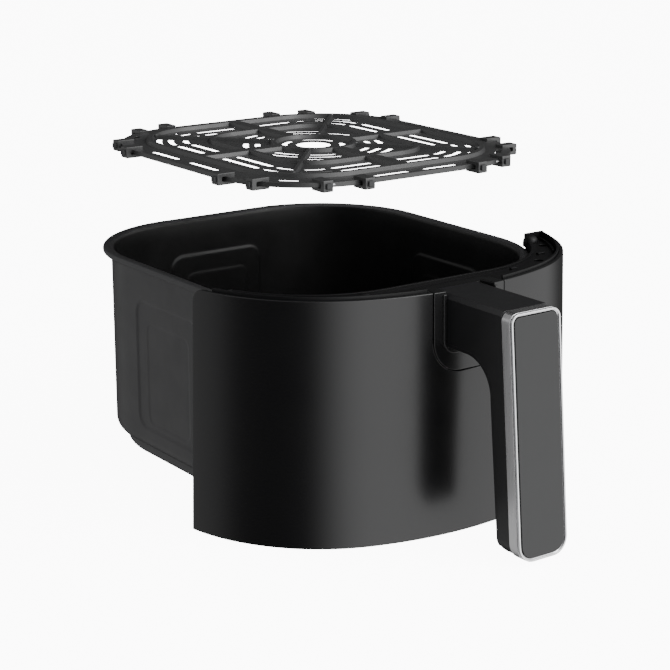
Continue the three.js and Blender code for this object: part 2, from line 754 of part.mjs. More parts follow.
// Arc slots about a centre: [radius, from, to] in degrees, for one quarter of the plate.
const CENTRE_ARCS = [[18.5, 16, 74], [35.5, 14, 41], [35.5, 49, 76], [43, 13, 41], [43, 49, 77], [50.5, 49, 78]];
const CORNER_ARCS = [[24, 8, 38], [24, 52, 82], [33.5, 8, 39], [33.5, 51, 82], [41, 16, 40], [41, 50, 74]];

function arcSlots(arcs, cx, cy) {
  return arcs.flatMap(([radius, from, to]) => {
    const path = arcPoints(radius, from, to, 3).map(([x, y]) => [cx + x, cy + y]);
    return mirrored(slotAlong(path, ARC_SLOT_WIDTH));
  });
}

function plateSlots() {
  const [outerX, outerY, radius] = OUTER_RING;
  const marginX = PLATE_HALF_X - 7.4;
  const marginY = PLATE_HALF_Y - 5.8;
  const slots = [...arcSlots(CENTRE_ARCS, 0, 0), ...arcSlots(CORNER_ARCS, outerX - radius, outerY - radius)];
  for (const inset of [13, 23]) {
    const x = outerX - inset;
    const y = outerY - inset;
    slots.push(...mirrored(slotAlong([[x, 8.5], [x, 44]], SLOT_WIDTH)));
    slots.push(...mirrored(slotAlong([[9, y], [35.5, y]], SLOT_WIDTH)));
  }
  slots.push(...mirrored(slotAlong([[marginX, 8], [marginX, 36]], MARGIN_SLOT_WIDTH)));
  slots.push(...mirrored(slotAlong([[7, marginY], [29, marginY]], MARGIN_SLOT_WIDTH)));
  slots.push(...mirrored(slotAlong([[75.5, 90.5], [82, 84]], MARGIN_SLOT_WIDTH)));
  return slots;
}

function circle(radius, count) {
  return arcPoints(radius, 0, 360 - 360 / count, count - 1);
}

// A raised rib between two closed outlines.
function rib(outer, inner, low) {
  return solid(prism(outer, low, PLATE_TOP + RIB_HEIGHT - low, [inner]));
}

function squareRib([halfX, halfY, radius], low, steps) {
  const half = RIB_WIDTH / 2;
  const outer = roundedRect(halfX + half, halfY + half, radius + half, steps);
  return rib(outer, roundedRect(halfX - half, halfY - half, radius - half, steps), low);
}

function roundRib(radius, low) {
  return rib(circle(radius + RIB_WIDTH / 2, 32), circle(radius - RIB_WIDTH / 2, 32), low);
}

function plateBars(low) {
  const high = PLATE_TOP + RIB_HEIGHT;
  const half = BAR_WIDTH / 2;
  const alongY = (y0, y1) => solid(box([-half, y0, low], [half, y1, high]));
  const alongX = (x0, x1) => solid(box([x0, -half, low], [x1, half, high]));
  const [outerX, outerY] = OUTER_RING;
  const bars = [
    alongY(INNER_RING_RADIUS, outerY),
    alongY(-outerY, -INNER_RING_RADIUS),
    alongX(INNER_RING_RADIUS, outerX),
    alongX(-outerX, -INNER_RING_RADIUS),
  ];
  const cornerX = outerX - OUTER_RING[2] * (1 - Math.SQRT1_2);
  const cornerY = outerY - OUTER_RING[2] * (1 - Math.SQRT1_2);
  const reach = Math.hypot(cornerX, cornerY);
  for (const [sx, sy] of [[1, 1], [-1, 1], [-1, -1], [1, -1]]) {
    const turn = Math.atan2(sy * cornerY, sx * cornerX);
    const ridge = box([INNER_RING_RADIUS, -RIDGE_WIDTH / 2, low], [reach, RIDGE_WIDTH / 2, high]).rotateZ(turn);
    bars.push(solid(ridge));
  }
  return bars;
}

// How far the pot's inner wall is from the middle at a distance along the wall.
function wallReach(along, acrossHalf, alongHalf) {
  const radius = POT_RADIUS - POT_WALL;
  const past = Math.max(Math.abs(along) - (alongHalf - POT_WALL - radius), 0);
  return acrossHalf - POT_WALL - radius + Math.sqrt(radius ** 2 - past ** 2);
}

// Every lug: the side it is on (a turn about Z), its place along that side, and how far out it goes.
function lugPlaces() {
  const places = [];
  for (const turn of [0, 180]) {
    for (const sign of [-1, 1]) {
      SIDE_LUGS_Y.forEach((y, order) => {
        const edge = Math.abs(y) + LUG_WIDTH / 2;
        places.push({ turn, along: sign * y, order, tip: wallReach(edge, POT_HALF_X, POT_HALF_Y) - LUG_CLEARANCE });
      });
    }
  }
  for (const turn of [90, 270]) {
    for (const sign of [-1, 1]) {
      FRONT_LUGS_X.forEach((x, order) => {
        const edge = Math.abs(x) + LUG_WIDTH / 2;
        places.push({ turn, along: sign * x, order, tip: wallReach(edge, POT_HALF_Y, POT_HALF_X) - LUG_CLEARANCE });
      });
    }
  }
  return places;
}

const LUG_LOW = PLATE_TOP + LUG_RISE - LUG_HEIGHT;
const BUMPER_HALF = 1.8;
const BUMPER_Z = LUG_LOW + LUG_HEIGHT / 2;
const ROD_INSET = 3.2; // from the lug's outer face to the rod's centre
const NOTCH_MARGIN = 2.2; // from the rod's centre to the notch's wall

function lugPairs(places) {
  return places.filter((_, i) => i % 2 === 0).map((lug, i) => [lug, places[2 * i + 1]]);
}

function lugSolid({ turn, along, tip }) {
  const outer = tip - BUMPER_PROUD;
  const body = box(
    [outer - LUG_REACH_IN, along - LUG_WIDTH / 2, LUG_LOW],
    [outer, along + LUG_WIDTH / 2, LUG_LOW + LUG_HEIGHT],
  );
  return solid(body.rotateZ(rad(turn)));
}

function bumperPocket({ turn, along, tip }) {
  const half = BUMPER_HALF + GAP;
  const outer = tip - BUMPER_PROUD;
  const pocket = box([outer - 2.4, along - half, BUMPER_Z - half], [outer + 1, along + half, BUMPER_Z + half]);
  return solid(pocket.rotateZ(rad(turn)));
}

function bumperGeometry({ turn, along, tip }) {
  const outer = tip - BUMPER_PROUD;
  const stem = solid(
    box(
      [outer - 2.4 + GAP, along - BUMPER_HALF, BUMPER_Z - BUMPER_HALF],
      [tip - 0.6, along + BUMPER_HALF, BUMPER_Z + BUMPER_HALF],
    ),
  );
  const nose = BUMPER_HALF - 0.5;
  const cap = solid(box([tip - 1, along - nose, BUMPER_Z - nose], [tip, along + nose, BUMPER_Z + nose]));
  return geometryOf(stem.add(cap)).rotateZ(rad(turn));
}

// The space between the two lugs of a pair. The rod lies at the depth of the lug that reaches less far.
function pairSpace([near, far]) {
  const depth = Math.min(near.tip, far.tip) - BUMPER_PROUD - ROD_INSET;
  const [a, b] = [near.along, far.along].sort((p, q) => p - q);
  return { depth, low: a + LUG_WIDTH / 2, high: b - LUG_WIDTH / 2, turn: near.turn };
}

function rodGeometry(pair) {
  const { depth, low, high, turn } = pairSpace(pair);
  return new THREE.CylinderGeometry(ROD_RADIUS, ROD_RADIUS, high - low - 2 * GAP, 8)
    .translate(depth, (low + high) / 2, BUMPER_Z)
    .rotateZ(rad(turn));
}

// The plate's edge is cut back between the lugs of a pair, where the rod lies.
function edgeNotch(pair) {
  const { depth, low, high, turn } = pairSpace(pair);
  const notch = box([depth - NOTCH_MARGIN, low - 0.5, LUG_LOW - 5], [depth + 30, high + 0.5, PLATE_TOP + 5]);
  return solid(notch.rotateZ(rad(turn)));
}

function plateGeometry(places) {
  const low = PLATE_TOP - PLATE_WEB;
  const outline = roundedRect(PLATE_HALF_X, PLATE_HALF_Y, PLATE_RADIUS, 10);
  const hole = circle(HOLE_RADIUS, 24);
  const openings = [hole, ...plateSlots()].map((points) => solid(prism(points, low - 1, PLATE_WEB + 2)));
  const web = without(solid(prism(outline, low, PLATE_WEB)), openings);
  const rimInner = roundedRect(PLATE_HALF_X - 1.6, PLATE_HALF_Y - 1.6, PLATE_RADIUS - 1.6, 10);
  const flange = solid(prism(outline, PLATE_TOP - PLATE_FLANGE, PLATE_FLANGE - 0.2, [rimInner]));
  const ribs = [
    squareRib(OUTER_RING, low, 8),
    squareRib(MIDDLE_RING, low, 6),
    roundRib(INNER_RING_RADIUS, low),
  ];
  const base = without(union([web, flange]), lugPairs(places).map(edgeNotch));
  const whole = union([base, ...ribs, ...plateBars(low), ...places.map(lugSolid)]);
  return geometryOf(without(whole, places.map(bumperPocket)));
}

// ---------------------------------------------------------------- assembly
const drawer = new THREE.Group();

function add(parent, name, geometry, finish) {
  const mesh = new THREE.Mesh(geometry, finish);
  mesh.name = name;
  parent.add(mesh);
}

add(drawer, "pot", potGeometry(), coating());
add(drawer, "front_cover", coverGeometry(), blackPlastic());
add(drawer, "heat_shield", shieldGeometry(), blackPlastic());
add(drawer, "top_bracket", bracketGeometry(), blackPlastic());
add(drawer, "handle_socket", socketGeometry(), blackPlastic());
add(drawer, "handle_body", handleBodyGeometry(), blackPlastic());
add(drawer, "handle_back", handleBackGeometry(), blackPlastic());
add(drawer, "handle_trim", trimGeometry(), satinMetal());
add(drawer, "handle_ring", ringGeometry(), polishedMetal());
add(drawer, "handle_insert", insertGeometry(), greyPlastic());
SHIELD_SCREWS.forEach((place, i) => add(drawer, `shield_screw_${i + 1}`, shieldScrew(place), steel()));
BRACKET_SCREWS.forEach((place, i) => add(drawer, `bracket_screw_${i + 1}`, bracketScrew(place), steel()));
HANDLE_SCREWS.forEach((x, i) => add(drawer, `handle_screw_${i + 1}`, handleScrew(x), steel()));

const crisper = new THREE.Group();
drawer.add(crisper);
const lugs = lugPlaces();
add(crisper, "crisper_plate", plateGeometry(lugs), coating());
lugs.forEach((lug, i) => add(crisper, `bumper_${i + 1}`, bumperGeometry(lug), silicone()));
lugPairs(lugs).forEach((pair, i) => add(crisper, `rod_${i + 1}`, rodGeometry(pair), steel()));

export default drawer;
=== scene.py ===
"""The air fryer drawer with its crisper plate lifted out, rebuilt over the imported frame.

Lengths are millimetres until a mesh is made. X is right, -Y is the handle side, Z is up.
A flat outline is a pair (points, normals): closed, counter-clockwise, normals pointing out.
"""
import math
from functools import cache

import bmesh
import bpy
import numpy as np
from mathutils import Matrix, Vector
from mathutils.geometry import delaunay_2d_cdt


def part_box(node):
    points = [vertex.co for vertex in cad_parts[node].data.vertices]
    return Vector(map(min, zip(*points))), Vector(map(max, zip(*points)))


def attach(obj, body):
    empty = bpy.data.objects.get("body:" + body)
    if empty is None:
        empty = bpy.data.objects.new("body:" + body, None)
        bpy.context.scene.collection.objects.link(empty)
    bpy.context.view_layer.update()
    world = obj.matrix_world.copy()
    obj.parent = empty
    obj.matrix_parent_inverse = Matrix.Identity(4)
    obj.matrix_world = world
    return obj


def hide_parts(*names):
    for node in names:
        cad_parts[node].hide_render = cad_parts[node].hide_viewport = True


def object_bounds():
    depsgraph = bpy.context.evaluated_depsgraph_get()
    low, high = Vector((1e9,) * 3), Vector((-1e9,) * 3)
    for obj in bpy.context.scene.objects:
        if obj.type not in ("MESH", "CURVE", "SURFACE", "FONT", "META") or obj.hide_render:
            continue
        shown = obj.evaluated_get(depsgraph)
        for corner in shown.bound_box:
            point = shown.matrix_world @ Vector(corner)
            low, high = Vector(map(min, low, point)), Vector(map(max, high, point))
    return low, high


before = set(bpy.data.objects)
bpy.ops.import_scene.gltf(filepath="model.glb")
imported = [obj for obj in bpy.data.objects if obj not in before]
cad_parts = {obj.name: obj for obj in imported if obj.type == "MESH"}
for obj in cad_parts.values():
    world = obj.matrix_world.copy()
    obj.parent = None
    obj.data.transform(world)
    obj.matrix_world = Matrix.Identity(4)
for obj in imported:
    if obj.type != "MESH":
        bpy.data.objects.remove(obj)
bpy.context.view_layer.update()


def span(node):
    """Lowest and highest corners of a CAD node, in millimetres."""
    low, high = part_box(node)
    return np.array(low) * 1000, np.array(high) * 1000


# ---- sizes
MM = 0.001
GAP = 0.35
RIGHT, LEFT, BACK, FRONT, UP = (1, 0, 0), (-1, 0, 0), (0, 1, 0), (0, -1, 0), (0, 0, 1)

POT_HIGH = span("pot")[1]
LIP_OVERHANG = 5.5
POT_HALF_X = POT_HIGH[0] - LIP_OVERHANG
POT_HALF_Y = POT_HIGH[1] - LIP_OVERHANG
POT_TOP = POT_HIGH[2]
POT_RADIUS = 72.8
POT_WALL = 1.6
LIP_HEIGHT = 4.2
FOOT_RADIUS = 7.6
BOSS_INSET = 7.0
BOSS_RADIUS = 8.0
BOSS_HEIGHT = 10.4
PADS = [(36, 25, 108, 9.0, 0.8), (24.5, 29, 95, 6.0, 0.35)]  # half width, low, high, corner, depth
PAD_SLOPE = 1.0
PAD_STEP = 0.8  # between the wall's points where the pads' edges are
PAD_EDGES = (14, 39)  # where those edges are, either way from the middle of a side
FLOOR_RING = 44

COVER_LOW = span("front_cover")[0][2]
COVER_TOP = span("front_cover")[1][2]
COVER_FRONT_Y = span("front_cover")[0][1]
COVER_FRONT_RADIUS = 202.2
COVER_SIDE_RADIUS = 105.0
COVER_HALF_ANGLE = math.radians(19)
COVER_END_ANGLE = math.radians(81.9)
COVER_DRAFT = 0.0249
COVER_WALL = 2.6
COVER_CORNER = 8.0
SHIELD_OFFSET = 11.0
SHIELD_WALL = 2.0
SHIELD_END_ANGLE = math.radians(64)
SHIELD_SCREWS = [(-0.26, 20), (0.26, 20), (-0.62, 94), (0.62, 94)]  # turn, height
SHIELD_SCREW = (3.2, 1.8, 1.25, 6)  # head radius, head height, shank radius, shank length
SHIELD_BOSS = 4.0
SHIELD_BOSS_BORE = 1.6
SHIELD_CLEARANCE = 2
SHIELD_CORNER = 6

BRACKET_TOP = span("top_bracket")[1][2]
BRACKET_BACK_Y = span("top_bracket")[1][1]
BRACKET_FLOOR = 136.6
BRACKET_LOW = span("top_bracket")[0][2]
BRACKET_PLATE = 1.4
BRACKET_RIM = 1.4
BRACKET_BACK_RIM = 2.0
BRACKET_LIP_RIM = 2.0
BRACKET_LIP_RIM_TOP = 138.2
RIDGE_INSET = 3.15
RIDGE_WIDE = 1.5
RIDGE_TOP = 138.4
RIDGE_Y = (-112, -79)
TABS = [(96, -110.2, 3, 1.3), (56, -130, 2.3, 1.2)]  # place, half length, half width
TAB_TOP = 137.9
KNOB = (112.5, -82)
KNOB_RADIUS = 5.0
KNOB_TOP = 141.5
KNOB_LOW = 134.0
SCREW_SEAT = 132.6
SCREW_BORE = 2.9
SCREW_BOSS = 4.4
SHANK_BORE = 1.7
SUNK = 0.5  # how far the pieces on the ledge's floor go into it
BRACKET_SCREW_COUNT = 4
BRACKET_SCREW = (2.5, 1.5, 1.3, 6)
LEDGE_CORNER = 1.2

HANDLE_TOP = span("handle_body")[1][2]
HANDLE_HALF = span("handle_body")[1][0]
HANDLE_LOW = span("handle_trim")[0][2]
HANDLE_CHAMFER = 2.6
HANDLE_CORNER = 10.5
GRIP_LEAN = 0.0914
GRIP_FRONT_Y = -212.3
GRIP_DEPTH = 19.6
ARM_ROOT_Y = span("handle_body")[1][1]
ARM_UNDERSIDE = 106.6
ARM_CURVE = 22.0
BACK_SHELL = 2.3
SEAM = 0.05  # between the grip's body and its back shell, too narrow to see through
PALM_END = 3.4
HEEL_CUT = 3.8
TRIM_HALF = span("handle_trim")[1][0]
TRIM_DEPTH = 6.9
TRIM_WALL = 0.85
RING_HALF = span("handle_ring")[1][0]
RING_WALL = 1.3
RING_PROUD = 1.9
SKIRT_HALF = 17.0
SKIRT_WALL = 0.7
INSERT_HALF = span("handle_insert")[1][0]
SOCKET_HALF = span("handle_socket")[1][0]
SOCKET_RADIUS = 18.5
COLLAR_HALF = 20.8
COLLAR_LOW = 102.4
COLLAR_RADIUS = 9.0
COLLAR_PROUD = 0.9
COLLAR_DEPTH = 3
SOCKET_DEPTH = 12
BLOCK_DEPTH = 8
SOCKET_LOW = span("handle_socket")[0][2]
SOCKET_BACK_Y = span("handle_socket")[1][1]
HANDLE_SCREWS = [-9, 9]
HANDLE_SCREW_Z = 122
HANDLE_SCREW = (3.2, 1.8, 1.4, 15)
SCREW_HOLE = 2.2

PLATE_TOP = 200.0
RIB_HEIGHT = 2.4
PLATE_HALF_X = 102.6
PLATE_HALF_Y = 110.4
PLATE_RADIUS = 62.0
PLATE_WEB = 0.6
PLATE_FLANGE = 3.0
RIB_WIDTH = 4.6
RIB_TAPER = 0.7
HOLE_RADIUS = 10.9
INNER_RING = 25.6
MIDDLE_RING = (50, 59, 26)
OUTER_RING = (85, 93.8, 47)
BAR_WIDTH = 10.0
RIDGE_WIDTH = 3.6
SLOT_WIDTH = 4.0
ARC_SLOT_WIDTH = 3.4
MARGIN_SLOT_WIDTH = 3.6
LUG_WIDTH = 6.9
LUG_HEIGHT = 7.0
LUG_RISE = 2.0
LUG_LENGTH = 12.0
LUG_WINDOW = (7.2, 3.2, 1.3)  # from, to behind the lug's end, half height
NUB = (1.7, 0.5, 1.6)  # radius, rise over the ribs, height
BUMPER = (1.9, 1.7, 0.6, 2.2)  # half width, half height, corner, depth
BUMPER_PROUD = 1.4
ROD_RADIUS = 0.9
ROD_COUNT = 8
BUMPER_COUNT = 16
LUG_LOW = PLATE_TOP + LUG_RISE - LUG_HEIGHT
LUG_MIDDLE = LUG_LOW + LUG_HEIGHT / 2
# The plate's curved slots for one quarter: radius, then from and to in degrees.
CENTRE_ARCS = [(18.5, 16, 74), (35.5, 14, 39), (35.5, 51, 76), (43, 13, 41), (43, 49, 77), (50.5, 49, 78)]
CORNER_ARCS = [(24, 10, 36), (24, 54, 80), (33.5, 8, 39), (33.5, 51, 82), (41, 16, 40), (41, 50, 74)]
# Its straight slots: how far in from the outer ring, and the places where they begin and end.
SLOT_INSETS = (13, 23)
SIDE_SLOT = (8.5, 44)
FRONT_SLOT = (9, 35.5)

# Strength of the studio's walls by direction: degrees from the front (-Y) towards the right (+X).
WALLS = [
    (-180, 0.3), (-148, 0.5), (-125, 0.55), (-108, 0.5), (-98, 0.2), (-88, 0.06), (-60, 0.04),
    (-46, 0.05), (-38, 0.2), (-26, 1.2), (-14, 2.2), (5, 2.4), (22, 2.2), (40, 1.9),
    (60, 1.6), (86, 0.95), (98, 0.3), (110, 0.05), (180, 0.02),
]
WALL_PEAK = 2.5
BACKDROP_STRENGTH = 11.0
FLOOR_GLOW = 10.0
CAMERA_SPOT = (-0.67156, -0.95520, 0.40735)  # metres
CAMERA_TILT = 74.085
CAMERA_TURN = -35.776
GRAIN_DEPTH = 0.00002  # metres


# ---- flat outlines
def unit(vectors):
    return vectors / np.maximum(np.linalg.norm(vectors, axis=-1, keepdims=True), 1e-12)


def arc(cx, cy, radius, start, end, steps):
    """Points and outward normals on a circle, angles in degrees. A clockwise arc is a hollow."""
    angles = np.radians(np.linspace(start, end, steps + 1))
    ray = np.stack([np.cos(angles), np.sin(angles)], 1)
    points = np.array([cx, cy]) + radius * ray
    return points, ray if end >= start else -ray


def join(pieces):
    return np.concatenate([p for p, _ in pieces]), np.concatenate([n for _, n in pieces])


def cos_sin(degrees):
    return math.cos(math.radians(degrees)), math.sin(math.radians(degrees))


def circle(radius, count, cx=0.0, cy=0.0):
    return arc(cx, cy, radius, 0, 360 - 360 / count, count - 1)


def round_rect(half_x, half_y, radius, steps=8, cx=0.0, cy=0.0):
    x, y = half_x - radius, half_y - radius
    corners = [(x, y, 0), (-x, y, 90), (-x, -y, 180), (x, -y, 270)]
    return join([arc(cx + px, cy + py, radius, a, a + 90, steps) for px, py, a in corners])


def rectangle(left, right, low, high):
    return [(left, low), (right, low), (right, high), (left, high)]


def soften(polygon, radii, steps=4):
    """A polygon's outline with every corner rounded. radii is one number or one for each corner."""
    corners = np.array(polygon, float)
    count = len(corners)
    radii = np.broadcast_to(radii, count)
    pieces = []
    for i in range(count):
        before = corners[i] - corners[i - 1]
        after = corners[(i + 1) % count] - corners[i]
        before /= np.linalg.norm(before)
        after /= np.linalg.norm(after)
        turn = math.atan2(before[0] * after[1] - before[1] * after[0], before @ after)
        out = np.array([before[1], -before[0]])
        start = corners[i] - before * abs(math.tan(turn / 2)) * radii[i]
        side = -1 if turn > 0 else 1
        centre = start + side * out * radii[i]
        first = math.degrees(math.atan2(-side * out[1], -side * out[0]))
        pieces.append(arc(*centre, radii[i], first, first + math.degrees(turn), steps))
    return join(pieces)


def densify(outline, step):
    """The same outline with no stretch longer than step."""
    points, normals = outline
    dense_points, dense_normals = [], []
    for i in range(len(points)):
        j = (i + 1) % len(points)
        parts = max(1, math.ceil(np.linalg.norm(points[j] - points[i]) / step))
        for t in np.arange(parts) / parts:
            dense_points.append(points[i] * (1 - t) + points[j] * t)
            blend = normals[i] * (1 - t) + normals[j] * t
            dense_normals.append(blend / np.linalg.norm(blend))
    return np.array(dense_points), np.array(dense_normals)


def grow(outline, distance):
    points, normals = outline
    return points + normals * distance, normals


def slot(path, width, cap=5):
    """A slot of that width along an open path, with round ends."""
    path = np.array(path, float)
    along = unit(np.gradient(path, axis=0))
    right = np.stack([along[:, 1], -along[:, 0]], 1)
    half = width / 2
    far = math.degrees(math.atan2(*right[-1][::-1]))
    near = math.degrees(math.atan2(*(-right[0])[::-1]))
    return join([
        (path[1:-1] + right[1:-1] * half, right[1:-1]),
        arc(*path[-1], half, far, far + 180, cap),
        (path[1:-1][::-1] - right[1:-1][::-1] * half, -right[1:-1][::-1]),
        arc(*path[0], half, near, near + 180, cap),
    ])


def mirrored(outline):
    """The four mirror images of an outline in the X and Y axes."""
    points, normals = outline
    images = []
    for sx, sy in ((1, 1), (-1, 1), (-1, -1), (1, -1)):
        flip = np.array([sx, sy])
        order = slice(None) if sx * sy > 0 else slice(None, None, -1)
        images.append(((points * flip)[order], (normals * flip)[order]))
    return images


def inside(points, outline):
    """Which points are inside a closed outline."""
    a = outline[0]
    b = np.roll(a, -1, axis=0)
    px, py = points[:, 0, None], points[:, 1, None]
    rise = b[:, 1] - a[:, 1]
    rise = np.where(np.abs(rise) < 1e-12, 1e-12, rise)
    crosses = (a[:, 1] > py) != (b[:, 1] > py)
    reach = a[:, 0] + (py - a[:, 1]) * (b[:, 0] - a[:, 0]) / rise
    return (crosses & (px < reach)).sum(1) % 2 == 1


# ---- parts: (points, faces, normals)
def slopes(place, u, v, w):
    """The surface's two tangents and its normal, on the side that w grows to."""
    h = 0.02
    along_u = (place(u + h, v, w) - place(u - h, v, w)) / (2 * h)
    along_v = (place(u, v + h, w) - place(u, v - h, w)) / (2 * h)
    along_w = (place(u, v, w + h) - place(u, v, w - h)) / (2 * h)
    normal = unit(np.cross(along_u, along_v))
    sign = np.sign((normal * along_w).sum(-1, keepdims=True))
    return along_u, along_v, normal * sign, float(sign.ravel()[0])


def edge_profile(thickness, edge, back_edge, steps):
    """Inset, depth and turn (0 at the face, 90 at the side, 180 at the back) round a plate's edge."""
    rows = []
    for turn in np.linspace(0, 90, steps + 1):
        c, s = cos_sin(turn)
        rows.append((edge * (1 - s), -edge * (1 - c), turn))
    for turn in np.linspace(90, 180, steps + 1):
        c, s = cos_sin(turn)
        rows.append((back_edge * (1 - s), -thickness + back_edge * (1 + c), turn))
    return rows


def edge_ring(loop, sign, place, inset, depth, turn):
    """The points and normals of one row of a plate's round edge."""
    ring, out = grow(loop, sign * inset)
    u, v = ring.T
    w = 0 * u + depth
    along_u, along_v, normal, _ = slopes(place, u, v, w)
    away = out * -sign
    side = unit(along_u * away[:, :1] + along_v * away[:, 1:])
    c, s = cos_sin(turn)
    return place(u, v, w), unit(normal * c + side * s)


def within(points, outline, holes, margin):
    """Which points are inside the outline and outside the holes by that margin."""
    keep = inside(points, grow(outline, -margin))
    for hole in holes:
        keep &= ~inside(points, grow(hole, margin))
    return keep


def grid_spots(outline, holes, edge, grid):
    """Points that grid apart inside a plate's flat face."""
    low, high = outline[0].min(0), outline[0].max(0)
    counts = [max(2, round(side / grid)) + 1 for side in high - low]
    xs, ys = (np.linspace(low[k], high[k], counts[k]) for k in range(2))
    spots = np.stack(np.meshgrid(xs, ys), -1).reshape(-1, 2)
    return spots[within(spots, outline, holes, edge + 0.45 * grid)]


def fill(flat, constraints, outline, holes, edge):
    """Counter-clockwise triangles over a plate's flat face."""
    result = delaunay_2d_cdt([Vector(p) for p in flat], constraints, [], 0, 1e-6)
    source = [orig[0] if orig else -1 for orig in result[3]]
    triangles = np.array([[source[i] for i in face] for face in result[2]])
    triangles = triangles[within(flat[triangles].mean(1), outline, holes, edge)]
    if triangles.min() < 0:
        raise ValueError("outlines cross")
    a, b, c = (flat[triangles[:, k]] for k in range(3))
    area = (b[:, 0] - a[:, 0]) * (c[:, 1] - a[:, 1]) - (b[:, 1] - a[:, 1]) * (c[:, 0] - a[:, 0])
    triangles[area < 0] = triangles[area < 0][:, ::-1]
    return triangles[np.abs(area) > 1e-9]


def shell(outline, holes, place, thickness, edge=0.4, back_edge=None, grid=0.0, steps=3):
    """A plate with round edges, cut to outline and bent to shape by place(u, v, w).

    The face is at w = 0 and the back at w = -thickness. grid adds points inside, for a curved place.
    """
    back_edge = edge if back_edge is None else back_edge
    loops = [(outline, -1)] + [(hole, 1) for hole in holes]
    flat, constraints, starts = [], [], []
    for loop, sign in loops:
        first = sum(len(p) for p in flat)
        count = len(loop[0])
        starts.append(first)
        flat.append(grow(loop, sign * edge)[0])
        constraints += [(first + i, first + (i + 1) % count) for i in range(count)]
    if grid:
        flat.append(grid_spots(outline, holes, edge, grid))
    flat = np.concatenate(flat)
    triangles = fill(flat, constraints, outline, holes, edge)

    u, v = flat.T
    total = len(flat)
    _, _, face_normals, facing = slopes(place, u, v, 0 * u)
    back_points = place(u, v, 0 * u - thickness)
    back_rims = np.concatenate([grow(loop, sign * back_edge)[0] for loop, sign in loops])
    back_points[: len(back_rims)] = place(*back_rims.T, 0 * back_rims[:, 0] - thickness)
    points = [place(u, v, 0 * u), back_points]
    normals = [face_normals, -face_normals]
    faces = [tuple(t) for t in triangles] + [tuple(t[::-1] + total) for t in triangles]
    used = 2 * total
    rows = edge_profile(thickness, edge, back_edge, steps)[1:-1]
    for (loop, sign), first in zip(loops, starts):
        count = len(loop[0])
        rings = [np.arange(first, first + count)]
        for row in rows:
            ring_points, ring_normals = edge_ring(loop, sign, place, *row)
            points.append(ring_points)
            normals.append(ring_normals)
            rings.append(np.arange(used, used + count))
            used += count
        rings.append(rings[0] + total)
        for near, far in zip(rings, rings[1:]):
            for i in range(count):
                j = (i + 1) % count
                quad = (near[i], far[i], far[j], near[j])
                faces.append(quad if sign < 0 else quad[::-1])
    if facing < 0:
        faces = [face[::-1] for face in faces]
    return np.concatenate(points), [tuple(int(i) for i in f) for f in faces], np.concatenate(normals)


def skin(rows, normals=None):
    """A surface over rows of points, each a closed ring. Counter-clockwise rings that rise face out.

    With normals, the last row joins the first. Without, the first and last rows are capped.
    """
    rows = np.array(rows, float)
    levels, count = rows.shape[:2]
    faces = []
    for r in range(levels if normals else levels - 1):
        a, b = r * count, ((r + 1) % levels) * count
        for i in range(count):
            j = (i + 1) % count
            faces.append((a + i, a + j, b + j, b + i))
    points = rows.reshape(-1, 3)
    if normals:
        return points, faces, np.array(normals).reshape(-1, 3)
    faces.append(tuple(range(count))[::-1])
    faces.append(tuple(range((levels - 1) * count, levels * count)))
    return points, faces, np.zeros_like(points)


def sweep_ring(path, profile):
    """A closed section carried round a closed flat path. Its first axis points out of the path."""
    base, out = path
    section, section_normals = profile
    rows, normals = [], []
    for (across, height), (n_across, n_up) in zip(section[::-1], section_normals[::-1]):
        ring = base + out * across
        rows.append(np.column_stack([ring, np.full(len(ring), height)]))
        normals.append(np.column_stack([out * n_across, np.full(len(ring), n_up)]))
    points, faces, normals = skin(rows, normals)
    return points, [f[::-1] for f in faces], normals


def flat_at(height):
    """A level place with its face up at that height."""
    return lambda u, v, w: np.stack([u, v, height + w], -1)


def square(u_axis, v_axis, origin, w_axis):
    """A place whose u, v and w run along three directions from origin."""
    a, b, c, o = (np.array(q, float) for q in (u_axis, v_axis, w_axis, origin))
    return lambda u, v, w: o + u[..., None] * a + v[..., None] * b + w[..., None] * c


def merge(parts):
    points, faces, normals, used = [], [], [], 0
    for p, f, n in parts:
        points.append(p)
        normals.append(n)
        faces += [tuple(i + used for i in face) for face in f]
        used += len(p)
    return np.concatenate(points), faces, np.concatenate(normals)


def turned(part, degrees):
    """A part turned about Z."""
    c, s = cos_sin(degrees)
    spin = np.array([[c, s, 0], [-s, c, 0], [0, 0, 1]])
    points, faces, normals = part
    return points @ spin, faces, normals @ spin


def new_object(name, data):
    obj = bpy.data.objects.new(name, data)
    bpy.context.scene.collection.objects.link(obj)
    return obj


def add(name, parts, material, body, node, sharp=35):
    """Makes one Blender object from parts and ties it to the frame.
    """
    points, faces, normals = merge(parts)
    mesh = bpy.data.meshes.new(name)
    mesh.from_pydata([tuple(p) for p in points * MM], [], faces)
    mesh.polygons.foreach_set("use_smooth", [True] * len(mesh.polygons))
    mesh.set_sharp_from_angle(angle=math.radians(sharp))
    if np.abs(normals).max() > 0:
        mesh.normals_split_custom_set_from_vertices([tuple(n) for n in normals])
    mesh.materials.append(material)
    obj = new_object(name, mesh)
    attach(obj, body)
    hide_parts(node)
    return obj


# ---- materials
def set_inputs(node, values):
    for name, value in values.items():
        node.inputs[name].default_value = value


def new_material(name, colour, roughness, metallic=0.0, specular=0.5):
    material = bpy.data.materials.new(name)
    material.use_nodes = True
    shader = material.node_tree.nodes["Principled BSDF"]
    set_inputs(shader, {
        "Base Color": (*colour, 1), "Roughness": roughness,
        "Metallic": metallic, "Specular IOR Level": specular,
    })
    return material, shader


